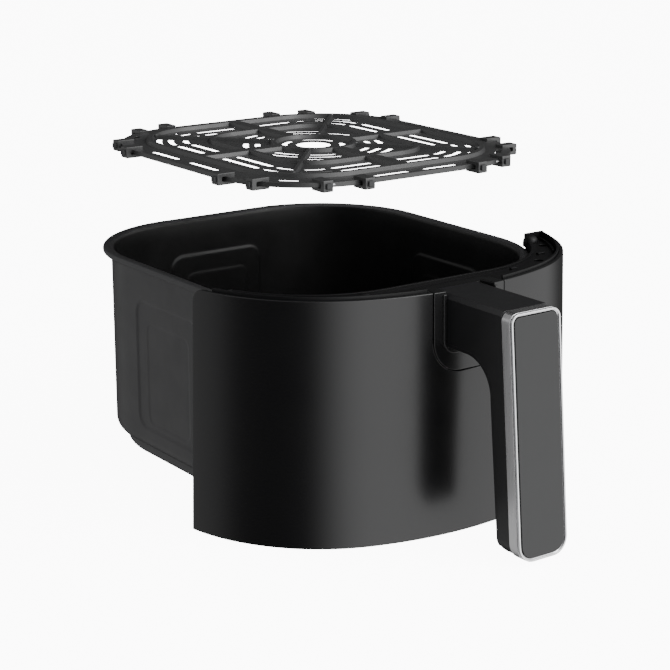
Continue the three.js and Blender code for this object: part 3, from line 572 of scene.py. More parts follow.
def noise(material, scale, detail=3.0, stretch=None):
    """A noise over the object's own coordinates, in metres."""
    nodes, links = material.node_tree.nodes, material.node_tree.links
    where = nodes.new("ShaderNodeTexCoord")
    texture = nodes.new("ShaderNodeTexNoise")
    set_inputs(texture, {"Scale": scale, "Detail": detail})
    source = where.outputs["Object"]
    if stretch:
        mapping = nodes.new("ShaderNodeMapping")
        set_inputs(mapping, {"Scale": stretch})
        links.new(source, mapping.inputs["Vector"])
        source = mapping.outputs["Vector"]
    links.new(source, texture.inputs["Vector"])
    return texture.outputs["Fac"]


def vary_roughness(material, shader, source, low, high):
    nodes, links = material.node_tree.nodes, material.node_tree.links
    ramp = nodes.new("ShaderNodeMapRange")
    set_inputs(ramp, {"From Min": 0.3, "From Max": 0.7, "To Min": low, "To Max": high})
    links.new(source, ramp.inputs["Value"])
    links.new(ramp.outputs["Result"], shader.inputs["Roughness"])


def grain(material, shader, source, strength, depth):
    nodes, links = material.node_tree.nodes, material.node_tree.links
    bump = nodes.new("ShaderNodeBump")
    set_inputs(bump, {"Strength": strength, "Distance": depth})
    links.new(source, bump.inputs["Height"])
    links.new(bump.outputs["Normal"], shader.inputs["Normal"])


def grained(name, colour, roughness, blotches, limits, strength, fineness=2600, specular=0.5):
    """A coating or plastic whose roughness wanders between limits over blotches, under a fine grain."""
    material, shader = new_material(name, colour, roughness, specular=specular)
    vary_roughness(material, shader, noise(material, blotches), *limits)
    grain(material, shader, noise(material, fineness, 2), strength, GRAIN_DEPTH)
    return material


def metal(name, colour, roughness, blotches, limits, stretch=None):
    material, shader = new_material(name, colour, roughness, 1.0)
    vary_roughness(material, shader, noise(material, blotches, 2, stretch), *limits)
    return material


def pot_coating(name, shade):
    return grained(name, (shade, shade, shade * 1.05), 0.42, 60, (0.38, 0.46), 0.1)


def plate_coating():
    colour = (0.038, 0.0385, 0.039)
    return grained("plate_coating", colour, 0.33, 90, (0.3, 0.4), 0.12, specular=0.65)


@cache
def cover_plastic():
    material, shader = new_material("cover_plastic", (0.007, 0.007, 0.0075), 0.24)
    vary_roughness(material, shader, noise(material, 40), 0.23, 0.26)
    grain(material, shader, noise(material, 3200, 1), 0.05, GRAIN_DEPTH / 2)
    return material


@cache
def bracket_plastic():
    colour = (0.007, 0.007, 0.0075)
    return grained("bracket_plastic", colour, 0.38, 120, (0.36, 0.44), 0.1, 2400, 0.25)


def handle_plastic():
    return grained("handle_plastic", (0.014, 0.014, 0.015), 0.36, 90, (0.33, 0.39), 0.1)


def grey_insert():
    return grained("grey_insert", (0.016, 0.0165, 0.017), 0.4, 80, (0.37, 0.43), 0.08, 2800)


def satin_metal():
    """Metal brushed along the grip."""
    return metal("satin_metal", (0.78, 0.78, 0.79), 0.4, 900, (0.26, 0.34), (1, 1, 0.05))


def bright_metal():
    return metal("bright_metal", (0.82, 0.82, 0.83), 0.2, 300, (0.17, 0.23))


@cache
def steel():
    return metal("steel", (0.5, 0.5, 0.51), 0.3, 700, (0.25, 0.36))


def silicone():
    material, shader = new_material("silicone", (0.03, 0.031, 0.032), 0.5)
    vary_roughness(material, shader, noise(material, 400), 0.5, 0.62)
    return material


# ---- pot
def pot_columns():
    """The wall's plan, dense where the pads' edges and corners are."""
    points, normals = [], []
    halves = POT_HALF_X, POT_HALF_Y
    for turn, side in enumerate([(1, 0), (0, 1), (-1, 0), (0, -1)]):
        out = np.array(side, float)
        along = np.array([-out[1], out[0]])
        middle, straight = out * halves[turn % 2], halves[1 - turn % 2] - POT_RADIUS
        near, far = PAD_EDGES
        fine = np.arange(near, min(far, straight - 0.5), PAD_STEP)
        for s in [*-fine[::-1], -9, -4, 0, 4, 9, *fine]:
            points.append(middle + s * along)
            normals.append(out)
        corner = middle + straight * along - out * POT_RADIUS
        arc_points, arc_normals = arc(*corner, POT_RADIUS, 90 * turn, 90 * turn + 90, 26)
        points += list(arc_points)
        normals += list(arc_normals)
    return np.array(points), np.array(normals)


def smooth_step(t):
    t = np.clip(t, 0, 1)
    return t * t * (3 - 2 * t)


def pad_depth(points, z):
    """How far the pads are pressed in, at places on the wall's plan and a height."""
    on_side = np.abs(points[:, 0]) > POT_HALF_X - 0.01
    on_front = np.abs(points[:, 1]) > POT_HALF_Y - 0.01
    along = np.where(on_side, points[:, 1], points[:, 0])
    depth = np.zeros(len(points))
    for half, low, high, corner, pressed in PADS:
        middle, tall = (low + high) / 2, (high - low) / 2
        qx = np.abs(along) - (half - corner)
        qz = abs(z - middle) - (tall - corner)
        outside = np.hypot(np.maximum(qx, 0), max(qz, 0)) + np.minimum(np.maximum(qx, qz), 0) - corner
        depth += pressed * smooth_step(0.5 - outside / (2 * PAD_SLOPE))
    return np.where(on_side | on_front, depth, 0)


def section_arc(inset, z, radius, start, end, steps):
    """A round in the pot's section, as (inset, height). 0 faces down, 90 out, 180 up."""
    angles = np.radians(np.linspace(start, end, steps + 1))
    return [(inset - radius * math.sin(a), z - radius * math.cos(a)) for a in angles]


def pot_heights():
    """The wall's heights, dense where the pads' edges and corners are."""
    low, high = PADS[0][1], PADS[0][2]
    return np.concatenate([
        np.arange(low - 2, low + 14, PAD_STEP),
        np.arange(low + 14, high - 26, 5),
        np.arange(high - 26, high + 2.4, PAD_STEP),
        [high + 8, high + 13],
    ])


def pot_section():
    """Up the outside from the floor, and from the lip down the inside: rows of (inset, height)."""
    boss = BOSS_INSET + BOSS_RADIUS
    foot_z = BOSS_HEIGHT + FOOT_RADIUS
    lip_low = POT_TOP - LIP_HEIGHT
    bead = LIP_HEIGHT / 2
    heights = list(pot_heights())
    outside = [(FLOOR_RING, 0), (boss + 1.5, 0)]
    outside += section_arc(boss, BOSS_RADIUS, BOSS_RADIUS, 0, 90, 7)
    outside += [(BOSS_INSET, BOSS_HEIGHT - 0.6), (BOSS_INSET - 0.4, BOSS_HEIGHT)]
    outside += section_arc(FOOT_RADIUS, foot_z, FOOT_RADIUS, 12, 90, 7)
    outside += [(0, foot_z + 1)] + [(0, z) for z in heights]
    outside += [(0, lip_low - 2.2), (-0.3, lip_low - 0.9), (-1.1, lip_low - 0.2), (-2, lip_low)]
    outside += section_arc(-LIP_OVERHANG + bead, POT_TOP - bead, bead, 0, 180, 10)
    outside += [(-2.2, POT_TOP), (-0.6, POT_TOP - 0.1), (0.6, POT_TOP - 0.6), (1.3, POT_TOP - 1.6)]
    inner_foot = FOOT_RADIUS - POT_WALL
    inside_rows = [(POT_WALL, POT_TOP - 3.2)] + [(POT_WALL, z) for z in heights[::-1]]
    inside_rows += [(POT_WALL, foot_z + 1)]
    inside_rows += section_arc(FOOT_RADIUS, foot_z, inner_foot, 90, 20, 7)
    inside_rows += [(BOSS_INSET + POT_WALL, BOSS_HEIGHT + 0.6)]
    inside_rows += section_arc(boss, BOSS_RADIUS, BOSS_RADIUS - POT_WALL, 90, 0, 7)
    inside_rows += [(boss + 1.5, POT_WALL), (FLOOR_RING, POT_WALL)]
    return outside, inside_rows


def pot_part():
    points, normals = pot_columns()
    outside, inside_rows = pot_section()
    rows = []
    for inset, z in outside + inside_rows:
        on_wall = abs(inset) < 0.01 or abs(inset - POT_WALL) < 0.01
        depth = pad_depth(points, z) if on_wall else 0 * points[:, 0]
        ring = points - normals * (inset + depth)[:, None]
        rows.append(np.column_stack([ring, np.full(len(ring), z)]))
    return skin(rows)


def build_pot():
    """The pot, with its inside in a darker copy of its coating, painted shade for the dim inside."""
    pot = add("pot_shell", [pot_part()], pot_coating("pot_coating", 0.034), "drawer", "pot", sharp=60)
    # The inside is the same coating made much darker: painted shade where little light reaches.
    pot.data.materials.append(pot_coating("pot_inside_painted_shade", 0.006))
    around = len(pot_columns()[0])
    outside, inside_rows = pot_section()
    first, last = len(outside) - 1, len(outside) + len(inside_rows) - 1
    faces = pot.data.polygons
    for face in [*faces[first * around:last * around], faces[-1]]:
        face.material_index = 1


# ---- cover and heat shield
def cover_at(turn, z, offset):
    """A point of the cover where its normal has that turn from -Y towards +X, moved out by offset."""
    turn = np.asarray(turn, float)
    on_front = np.abs(turn) <= COVER_HALF_ANGLE
    shift = np.where(on_front, 0, COVER_FRONT_RADIUS - COVER_SIDE_RADIUS)
    radius = np.where(on_front, COVER_FRONT_RADIUS, COVER_SIDE_RADIUS)
    cx = np.sign(turn) * shift * math.sin(COVER_HALF_ANGLE)
    cy = COVER_FRONT_Y + COVER_FRONT_RADIUS - shift * math.cos(COVER_HALF_ANGLE)
    reach = radius + offset - COVER_DRAFT * (z - COVER_LOW)
    return np.stack([cx + reach * np.sin(turn), cy - reach * np.cos(turn), z + 0 * reach], -1)


def cover_turn(s):
    """The normal's turn at a distance along the cover's plan."""
    front = COVER_FRONT_RADIUS * COVER_HALF_ANGLE
    beyond = np.maximum(np.abs(s) - front, 0)
    turn = np.minimum(np.abs(s), front) / COVER_FRONT_RADIUS + beyond / COVER_SIDE_RADIUS
    return np.sign(s) * turn


def plan_length(turn):
    """The distance along the cover's plan where its normal has that turn, negative to the left."""
    front = min(abs(turn), COVER_HALF_ANGLE) * COVER_FRONT_RADIUS
    side = max(abs(turn) - COVER_HALF_ANGLE, 0) * COVER_SIDE_RADIUS
    return math.copysign(front + side, turn)


def on_cover(offset=0.0):
    """A place on the cover: u along its plan, v up, w out from the face."""
    return lambda u, v, w: cover_at(cover_turn(u), v, w + offset)


def notched_panel(half, low, high, corners, notch_half, notch_low, notch_radius):
    """A tall panel's outline with a U notch in the middle of its top."""
    polygon = [
        (-half, low), (half, low), (half, high), (notch_half, high),
        (notch_half, notch_low), (-notch_half, notch_low), (-notch_half, high), (-half, high),
    ]
    bottom, top, lip = corners
    radii = [bottom, bottom, top, lip, notch_radius, notch_radius, lip, top]
    return densify(soften(polygon, radii, 12), 4)


def cover_outline():
    half = plan_length(COVER_END_ANGLE)
    corners = (1, COVER_CORNER, 0.8)
    notch = (SOCKET_HALF + GAP, SOCKET_LOW - GAP, SOCKET_RADIUS + GAP)
    return notched_panel(half, COVER_LOW, COVER_TOP, corners, *notch)


def build_cover():
    wall = shell(cover_outline(), [], on_cover(), COVER_WALL, 0.7, 0.25, grid=4, steps=4)
    bosses = [boss_part(turn, z) for turn, z in SHIELD_SCREWS]
    add("cover_panel", [wall, *bosses], cover_plastic(), "drawer", "front_cover")


def cover_frame(turn, z, offset):
    """A place square to the cover: u across, v up, w towards the pot, from a spot behind the cover."""
    origin = cover_at(turn, z, offset)
    across = (-math.cos(turn), -math.sin(turn), 0)
    inward = (-math.sin(turn), math.cos(turn), 0)
    return square(across, UP, origin, inward)


def boss_part(turn, z):
    """A hollow post behind the cover that a shield screw goes into."""
    length = SHIELD_OFFSET - COVER_WALL - GAP + 0.6
    place = cover_frame(turn, z, -SHIELD_OFFSET + GAP)
    return shell(circle(SHIELD_BOSS, 28), [circle(SHIELD_BOSS_BORE, 16)], place, length, 0.4)


def shield_outline():
    low, high = span("heat_shield")[0][2], span("heat_shield")[1][2]
    half, clear = plan_length(SHIELD_END_ANGLE), SHIELD_CLEARANCE
    notch = (SOCKET_HALF + clear, SOCKET_LOW - clear, SOCKET_RADIUS + clear)
    return notched_panel(half, low, high, (SHIELD_CORNER, SHIELD_CORNER, 2), *notch)


def build_shield():
    holes = [circle(SCREW_HOLE, 20, plan_length(turn), z) for turn, z in SHIELD_SCREWS]
    wall = shell(shield_outline(), holes, on_cover(-SHIELD_OFFSET), SHIELD_WALL, 0.6, grid=5)
    add("shield_panel", [wall], bracket_plastic(), "drawer", "heat_shield")


# ---- screws
def cross_outline(arm, width):
    a, b = arm, width / 2
    polygon = [
        (a, -b), (a, b), (b, b), (b, a), (-b, a), (-b, b),
        (-a, b), (-a, -b), (-b, -b), (-b, -a), (b, -a), (b, -b),
    ]
    return soften(polygon, 0.24, 3)


def screw_parts(place, head_radius, head_height, shank_radius, shank_length):
    """A pan-head screw with a cross recess. w = 0 is the head's seat and the head is on the w > 0 side."""
    def domed(u, v, w):
        fall = 0.35 * head_height * (np.hypot(u, v) / head_radius) ** 2
        return place(u, v, w - np.where(w > -0.5 * head_height, fall, 0) + head_height)

    def raised(by):
        return lambda u, v, w: place(u, v, w + by)

    rim = circle(head_radius, 28)
    recess = cross_outline(head_radius * 0.56, head_radius * 0.3)
    depth = head_height * 0.42
    head = shell(rim, [recess], domed, head_height * 0.6, 0.18, 0.02)
    base = shell(rim, [], raised(depth), depth, 0.02, 0.1)
    shank = shell(circle(shank_radius, 16), [], raised(0.05), shank_length, 0.02, 0.4)
    return [head, base, shank]


def build_screw_set(name, node, places, size):
    for i, place in enumerate(places):
        add(f"{name}_{i + 1}", screw_parts(place, *size), steel(), "drawer", f"{node}_{i + 1}")


def build_screws():
    behind = -SHIELD_OFFSET - SHIELD_WALL - GAP
    places = [cover_frame(turn, z, behind) for turn, z in SHIELD_SCREWS]
    build_screw_set("panel_screw", "shield_screw", places, SHIELD_SCREW)
    places = [square(RIGHT, BACK, (x, y, SCREW_SEAT + GAP), UP) for x, y in bracket_screw_places()]
    build_screw_set("ledge_screw", "bracket_screw", places, BRACKET_SCREW)
    y, z = SOCKET_BACK_Y + GAP, HANDLE_SCREW_Z
    places = [square(LEFT, UP, (x, y, z), BACK) for x in HANDLE_SCREWS]
    build_screw_set("arm_screw", "handle_screw", places, HANDLE_SCREW)


# ---- top bracket
def along_lip(gap, back):
    """A line round the front of the pot's lip, outside it by gap, left to right and as far as back."""
    reach = LIP_OVERHANG + gap
    outline = round_rect(POT_HALF_X + reach, POT_HALF_Y + reach, POT_RADIUS + reach, 40)
    line = densify(outline, 3)[0]
    line = line[line[:, 1] < back]
    return line[np.argsort(line[:, 0])]


def bracket_screw_places():
    middles = []
    for i in range(BRACKET_SCREW_COUNT):
        low, high = span(f"bracket_screw_{i + 1}")
        middles.append((low[:2] + high[:2]) / 2)
    return middles


def cover_inside(turns, inset):
    """The cover's inner face in plan, moved in by inset."""
    return cover_at(turns, BRACKET_TOP, -COVER_WALL - GAP - inset)[:, :2]


def along_cover():
    """The ledge's edge along the cover, left to right."""
    line = cover_inside(np.linspace(-COVER_END_ANGLE, COVER_END_ANGLE, 160), 0)
    return line[line[:, 1] < BRACKET_BACK_Y]


def around_socket(outer):
    """The ledge's outer edge with a square notch for the socket."""
    half = SOCKET_HALF + GAP
    left, right = outer[outer[:, 0] < -half], outer[outer[:, 0] > half]
    back = SOCKET_BACK_Y + GAP
    notch = [(-half, left[-1][1]), (-half, back), (half, back), (half, right[0][1])]
    return np.concatenate([left, notch, right])


def ledge_outline():
    """The ledge's plan between the lip and the cover."""
    inner, outer = along_lip(GAP, BRACKET_BACK_Y), along_cover()
    back = BRACKET_BACK_Y
    right = [(outer[-1][0], back), (inner[-1][0], back)]
    left = [(inner[0][0], back), (outer[0][0], back)]
    polygon = np.concatenate([around_socket(outer), right, inner[::-1], left])
    kept = [0]
    for i in range(1, len(polygon)):
        if np.linalg.norm(polygon[i] - polygon[kept[-1]]) > 0.6:
            kept.append(i)
    return soften_gently(polygon[kept], LEDGE_CORNER)


def soften_gently(polygon, corner):
    """Rounds sharp corners by that radius and smooths the rest as far as there is room."""
    radii = []
    for i in range(len(polygon)):
        a = polygon[i] - polygon[i - 1]
        b = polygon[(i + 1) % len(polygon)] - polygon[i]
        turn = abs(math.atan2(a[0] * b[1] - a[1] * b[0], a @ b))
        room = 0.48 * min(np.linalg.norm(a), np.linalg.norm(b)) / max(math.tan(turn / 2), 1e-6)
        radii.append(min(room, corner if turn > 0.5 else 40))
    return soften(polygon, radii, 2)


def floor_depth(top):
    """The height of a piece that stands on the ledge's floor and ends at top."""
    return top - BRACKET_FLOOR + SUNK


def strip(line, width, top, depth):
    """A low wall of that width along an open line in plan."""
    return shell(slot(line, width, 4), [], flat_at(top), depth, 0.18)


def cover_strips(inset, width, top, depth, keep):
    """A left and a right wall that follow the cover, where keep says so."""
    line = cover_inside(np.linspace(-COVER_END_ANGLE, COVER_END_ANGLE, 360), inset)
    sides = [line[keep(line) & (line[:, 0] < 0)], line[keep(line) & (line[:, 0] > 0)]]
    return [strip(side[::3], width, top, depth) for side in sides]


def ledge_rims():
    half = SOCKET_HALF + GAP + BRACKET_RIM / 2
    skirt = BRACKET_TOP - BRACKET_LOW

    def beside_socket(line):
        return (np.abs(line[:, 0]) > half) & (line[:, 1] < BRACKET_BACK_Y - BRACKET_RIM)

    def in_wing(line):
        return (line[:, 1] > RIDGE_Y[0]) & (line[:, 1] < RIDGE_Y[1])

    parts = cover_strips(BRACKET_RIM / 2, BRACKET_RIM, BRACKET_TOP, skirt, beside_socket)
    parts += cover_strips(RIDGE_INSET, RIDGE_WIDE, RIDGE_TOP, floor_depth(RIDGE_TOP), in_wing)
    lip = along_lip(GAP + BRACKET_LIP_RIM / 2, BRACKET_BACK_Y - BRACKET_LIP_RIM)
    parts.append(strip(lip, BRACKET_LIP_RIM, BRACKET_LIP_RIM_TOP, BRACKET_LIP_RIM_TOP - BRACKET_LOW))
    outer = along_cover()
    y = BRACKET_BACK_Y - BRACKET_BACK_RIM / 2
    for side, top in ((0, BRACKET_LIP_RIM_TOP), (-1, BRACKET_TOP)):
        line = [(math.copysign(KNOB[0], outer[side][0]), y), (outer[side][0], y)]
        parts.append(strip(line, BRACKET_BACK_RIM - 0.1, top, floor_depth(top)))
    return parts


def screw_boss(x, y):
    """A tube below the floor with a seat near its lower end."""
    bore, shank = circle(SCREW_BORE, 28, x, y), circle(SHANK_BORE, 20, x, y)
    wall = circle(SCREW_BOSS, 28, x, y)
    top = BRACKET_FLOOR - 0.2
    tube = shell(wall, [bore], flat_at(top), top - SCREW_SEAT, 0.1)
    seat = shell(wall, [shank], flat_at(SCREW_SEAT), SCREW_SEAT - BRACKET_LOW, 0.1)
    return [tube, seat]


def ledge_parts():
    holes = [circle(SCREW_BORE, 28, x, y) for x, y in bracket_screw_places()]
    parts = [shell(ledge_outline(), holes, flat_at(BRACKET_FLOOR), BRACKET_PLATE, 0.25)]
    parts += ledge_rims()
    for x, y in bracket_screw_places():
        parts += screw_boss(x, y)
    knob = circle(KNOB_RADIUS, 40, *KNOB)
    parts.append(shell(knob, [], flat_at(KNOB_TOP), KNOB_TOP - KNOB_LOW, KNOB_RADIUS - 0.3, 0.3, steps=10))
    for side in (-1, 1):
        for x, y, half_x, half_y in TABS:
            plan = round_rect(half_x, half_y, 0.6, 4, side * x, y)
            parts.append(shell(plan, [], flat_at(TAB_TOP), floor_depth(TAB_TOP), 0.35))
    return parts


def build_bracket():
    add("ledge", ledge_parts(), bracket_plastic(), "drawer", "top_bracket")


# ---- handle
def grip_y(z, depth):
    """The grip's leaning front plane, moved back by depth."""
    return GRIP_FRONT_Y + depth + GRIP_LEAN * (z - POT_TOP)


def palm_line(offset):
    """The palm side in YZ: under the arm, round the curve and down the grip."""
    radius = ARM_CURVE + offset
    cz = ARM_UNDERSIDE - ARM_CURVE
    cy = grip_y(cz, GRIP_DEPTH) + ARM_CURVE
    angles = np.radians(np.linspace(90, 180, 17))
    curve = [(cy + radius * math.cos(a), cz + radius * math.sin(a)) for a in angles]
    low = HANDLE_LOW + PALM_END
    return curve + [(grip_y(low, GRIP_DEPTH) - offset, low)]


def side_limits(x, shrink=0.0):
    """The handle's lowest and highest point at a place across: round below, chamfered above."""
    x = abs(x)
    half = HANDLE_HALF - shrink
    r = HANDLE_CORNER
    past = max(x - (half - r), 0)
    low = HANDLE_LOW + 0.6 + shrink + r - math.sqrt(max(r * r - past * past, 0))
    top = HANDLE_TOP - shrink - max(x - (half - HANDLE_CHAMFER), 0)
    return low, top


def body_section(x):
    """The handle's side outline in YZ at a place across."""
    low, top = side_limits(x)
    front = TRIM_DEPTH + GAP
    back_low = max(low, HANDLE_LOW + 1.2)
    palm = palm_line(BACK_SHELL + SEAM)
    return [
        (ARM_ROOT_Y, top), (grip_y(top, front), top), (grip_y(low, front), low),
        (grip_y(back_low, GRIP_DEPTH - HEEL_CUT), back_low),
        *[(y, max(z, back_low + 0.4)) for y, z in palm[::-1]],
        (ARM_ROOT_Y, ARM_UNDERSIDE + BACK_SHELL + SEAM),
    ]


def across_stations():
    """The places across the handle where it is cut, dense where its edges are round."""
    half, r, c = HANDLE_HALF, HANDLE_CORNER, HANDLE_CHAMFER
    stations = [0, half - r - 2]
    stations += [half - r + r * math.sin(math.radians(a)) for a in (0, 15, 30, 45, 55, 65, 75, 83)]
    stations += [half - c, half - 0.6, half - 0.15, half]
    stations = sorted(set(round(s, 3) for s in stations))
    return [-s for s in stations[:0:-1]] + stations


def palm_inset(x):
    """The palm's edges are rounded by about a millimetre."""
    past = max(abs(x) - (HANDLE_HALF - 1.0), 0)
    return 1.0 - math.sqrt(max(1.0 - past * past, 0))


def back_section(x):
    """The thin inner shell's side outline at a place across."""
    low, _ = side_limits(x, 0.4)
    root = cover_at(0.0, ARM_UNDERSIDE, -3)[1]
    return [
        (root, ARM_UNDERSIDE + palm_inset(x)),
        *[(y, max(z, low)) for y, z in palm_line(palm_inset(x))],
        *[(y, max(z, low)) for y, z in palm_line(BACK_SHELL)[::-1]],
        (root, ARM_UNDERSIDE + BACK_SHELL),
    ]


def rounded_loft(name, section_at, width, material, node):
    """A solid lofted along X through side sections, with its edges rounded by width."""
    rows = [[(x, y, z) for y, z in section_at(x)] for x in across_stations()]
    obj = add(name, [skin(rows)], material, "drawer", node, sharp=30)
    fix_normals(obj)
    bevel = obj.modifiers.new("edges", "BEVEL")
    bevel.width = width * MM
    bevel.segments = 3
    bevel.limit_method = "ANGLE"
    bevel.angle_limit = math.radians(32)
    bevel.harden_normals = True
    apply_modifiers(obj)


def fix_normals(obj):
    work = bmesh.new()
    work.from_mesh(obj.data)
    bmesh.ops.recalc_face_normals(work, faces=work.faces)
    work.to_mesh(obj.data)
    work.free()


def apply_modifiers(obj):
    """Replaces the mesh by what its modifiers make of it."""
    graph = bpy.context.evaluated_depsgraph_get()
    mesh = bpy.data.meshes.new_from_object(obj.evaluated_get(graph))
    obj.modifiers.clear()
    obj.data = mesh


def front_outline(half):
    """The outline of the grip's front pieces, in XZ, for a piece with that half width."""
    margin = TRIM_HALF - half
    top, low = HANDLE_TOP - margin, HANDLE_LOW + margin
    top_radius, low_radius = max(6 - margin, 2.2), max(HANDLE_CORNER - margin, 3)
    radii = [low_radius, low_radius, top_radius, top_radius]
    return densify(soften(rectangle(-half, half, low, top), radii, 10), 20)


def on_grip(depth):
    """A place behind the grip's front by depth: u across, v up, w out."""
    return lambda u, v, w: np.stack([u, grip_y(v, depth - w), v], -1)


def build_handle():
    plastic = handle_plastic()
    rounded_loft("grip_body", body_section, 0.5, plastic, "handle_body")
    rounded_loft("grip_back", back_section, 0.3, plastic, "handle_back")
    trim = ring_part(TRIM_HALF, TRIM_WALL, 0, TRIM_DEPTH, 0.35)
    add("grip_trim", [trim], satin_metal(), "drawer", "handle_trim")
    band = ring_part(RING_HALF, RING_WALL, -RING_PROUD, RING_PROUD - 0.55, 0.4)
    skirt = ring_part(SKIRT_HALF, SKIRT_WALL, 1 - RING_PROUD, RING_PROUD + 1.5, 0.2)
    add("grip_ring", [band, skirt], bright_metal(), "drawer", "handle_ring")
    depth = 0.1 - RING_PROUD
    face = shell(front_outline(INSERT_HALF), [], on_grip(depth), TRIM_DEPTH - depth, 0.4, 0.2)
    add("grip_insert", [face], grey_insert(), "drawer", "handle_insert")


def ring_part(half, wall, depth, thickness, edge):
    """A frame on the grip's front, from that depth back."""
    opening = [front_outline(half - wall)]
    return shell(front_outline(half), opening, on_grip(depth), thickness, min(edge, wall * 0.45), 0.2)


# ---- socket
def u_panel(half, low, radius, top):
    """A U-shaped panel's outline in XZ, open at the top where the arm comes through."""
    arm = (HANDLE_HALF + GAP, ARM_UNDERSIDE - GAP, 3)
    return notched_panel(half, low, top, (radius, 0.8, 0.6), *arm)


def build_socket():
    """The panel and low collar round the arm's root, and the block behind that holds its screws."""
    outer = u_panel(SOCKET_HALF, SOCKET_LOW, SOCKET_RADIUS, COVER_TOP - 0.1)
    panel = shell(outer, [], on_cover(), SOCKET_DEPTH, 0.5, 0.3, grid=4)
    inner = u_panel(COLLAR_HALF, COLLAR_LOW, COLLAR_RADIUS, HANDLE_TOP)
    collar = shell(inner, [], on_cover(COLLAR_PROUD), COLLAR_DEPTH, 0.55, 0.3, grid=4)
    depth = BLOCK_DEPTH - GAP
    place = square(RIGHT, UP, (0, SOCKET_BACK_Y - depth, 0), FRONT)
    holes = [circle(SCREW_HOLE, 20, x, HANDLE_SCREW_Z) for x in HANDLE_SCREWS]
    block = rectangle(-SOCKET_HALF, SOCKET_HALF, SOCKET_LOW, HANDLE_TOP - 0.2)
    outline = soften(block, [SOCKET_RADIUS, SOCKET_RADIUS, 1, 1], 12)
    wall = shell(outline, holes, place, depth, 0.5, 0.3)
    add("arm_socket", [panel, collar, wall], cover_plastic(), "drawer", "handle_socket")


# ---- crisper plate
def arc_slots(arcs, cx, cy):
    slots = []
    for radius, start, end in arcs:
        path = arc(cx, cy, radius, start, end, 10)[0]
        slots += mirrored(slot(path, ARC_SLOT_WIDTH))
    return slots


def plate_slots():
    outer_x, outer_y, radius = OUTER_RING
    margin_x, margin_y = PLATE_HALF_X - 7.4, PLATE_HALF_Y - 5.8
    slots = arc_slots(CENTRE_ARCS, 0, 0) + arc_slots(CORNER_ARCS, outer_x - radius, outer_y - radius)
    for inset in SLOT_INSETS:
        x, y = outer_x - inset, outer_y - inset
        slots += mirrored(slot([(x, at) for at in SIDE_SLOT], SLOT_WIDTH))
        slots += mirrored(slot([(at, y) for at in FRONT_SLOT], SLOT_WIDTH))
    slots += mirrored(slot([(margin_x, 8), (margin_x, 36)], MARGIN_SLOT_WIDTH))
    slots += mirrored(slot([(7, margin_y), (29, margin_y)], MARGIN_SLOT_WIDTH))
    slots += mirrored(slot([(75.5, 90.5), (82, 84)], MARGIN_SLOT_WIDTH))
    return slots


def rib_profile(width, height):
    """A rib's section: tapered sides and round corners, as deep as the web."""
    half = width / 2
    low, high = PLATE_TOP - PLATE_WEB, PLATE_TOP + height
    wide, narrow = half + RIB_TAPER / 2, half - RIB_TAPER
    polygon = [(-wide, low), (wide, low), (narrow, high), (-narrow, high)]
    return soften(polygon, [0.2, 0.2, 0.3, 0.3], 4)


def bar_part(start, end, width, height):
    """A straight rib from start to end, in plan."""
    start, end = np.array(start, float), np.array(end, float)
    along = unit(end - start)
    across = np.array([along[1], -along[0]])
    length = np.linalg.norm(end - start)

    def place(u, v, w):
        spot = start + along * (length + w)[..., None] + across * u[..., None]
        return np.concatenate([spot, v[..., None]], -1)

    return shell(rib_profile(width, height), [], place, length, 0.15)


def plate_ribs():
    parts = []
    for half_x, half_y, radius in (OUTER_RING, MIDDLE_RING):
        path = round_rect(half_x, half_y, radius, 18)
        parts.append(sweep_ring(path, rib_profile(RIB_WIDTH, RIB_HEIGHT)))
    parts.append(sweep_ring(circle(INNER_RING, 64), rib_profile(RIB_WIDTH, RIB_HEIGHT)))
    outer_x, outer_y, outer_r = OUTER_RING
    start = INNER_RING
    for sign in (-1, 1):
        parts.append(bar_part((0, sign * start), (0, sign * outer_y), BAR_WIDTH, RIB_HEIGHT - 0.1))
        parts.append(bar_part((sign * start, 0), (sign * outer_x, 0), BAR_WIDTH, RIB_HEIGHT - 0.1))
    corner = np.array([outer_x - outer_r * 0.293, outer_y - outer_r * 0.293])
    for signs in ((-1, -1), (-1, 1), (1, -1), (1, 1)):
        far = corner * signs
        near = far / np.linalg.norm(far) * start
        parts.append(bar_part(near, far, RIDGE_WIDTH, RIB_HEIGHT - 0.15))
        parts += [nub_part(far * 0.975), nub_part(near * 1.06)]
    return parts


def nub_part(spot):
    """A small round stud on a rib's end."""
    radius, rise, height = NUB
    return shell(circle(radius, 18, *spot), [], flat_at(PLATE_TOP + RIB_HEIGHT + rise), height, 0.6, 0.1)


def lug_places():
    """Every lug: its side's turn about Z, its place along that side, and its tip, from the CAD bumpers."""
    places = []
    for i in range(BUMPER_COUNT):
        low, high = span(f"bumper_{i + 1}")
        middle = (low + high) / 2
        turn = (0, 180, 90, 270)[i // 4]
        c, s = cos_sin(-turn)
        along = middle[0] * s + middle[1] * c
        tips = [end[0] * c - end[1] * s for end in (low, high)]
        places.append((turn, along, max(abs(t) for t in tips)))
    return places


def lug_part(along, tip):
    """A box arm with a window through its sides."""
    outer = tip - BUMPER_PROUD
    side = rectangle(outer - LUG_LENGTH, outer, LUG_LOW, LUG_LOW + LUG_HEIGHT)
    start, end, half = LUG_WINDOW
    window = rectangle(outer - start, outer - end, LUG_MIDDLE - half, LUG_MIDDLE + half)
    place = square(RIGHT, UP, (0, along - LUG_WIDTH / 2, 0), FRONT)
    return shell(soften(side, [0.4, 0.8, 0.8, 0.4], 3), [soften(window, 0.6, 3)], place, LUG_WIDTH, 0.4)


def build_bumper(i, turn, along, tip, material):
    half, tall, corner, depth = BUMPER
    place = square(BACK, UP, (tip, along, LUG_MIDDLE), RIGHT)
    face = shell(round_rect(half, tall, corner, 4), [], place, depth, 0.5)
    add(f"foot_{i + 1}", [turned(face, turn)], material, "crisper", f"bumper_{i + 1}")


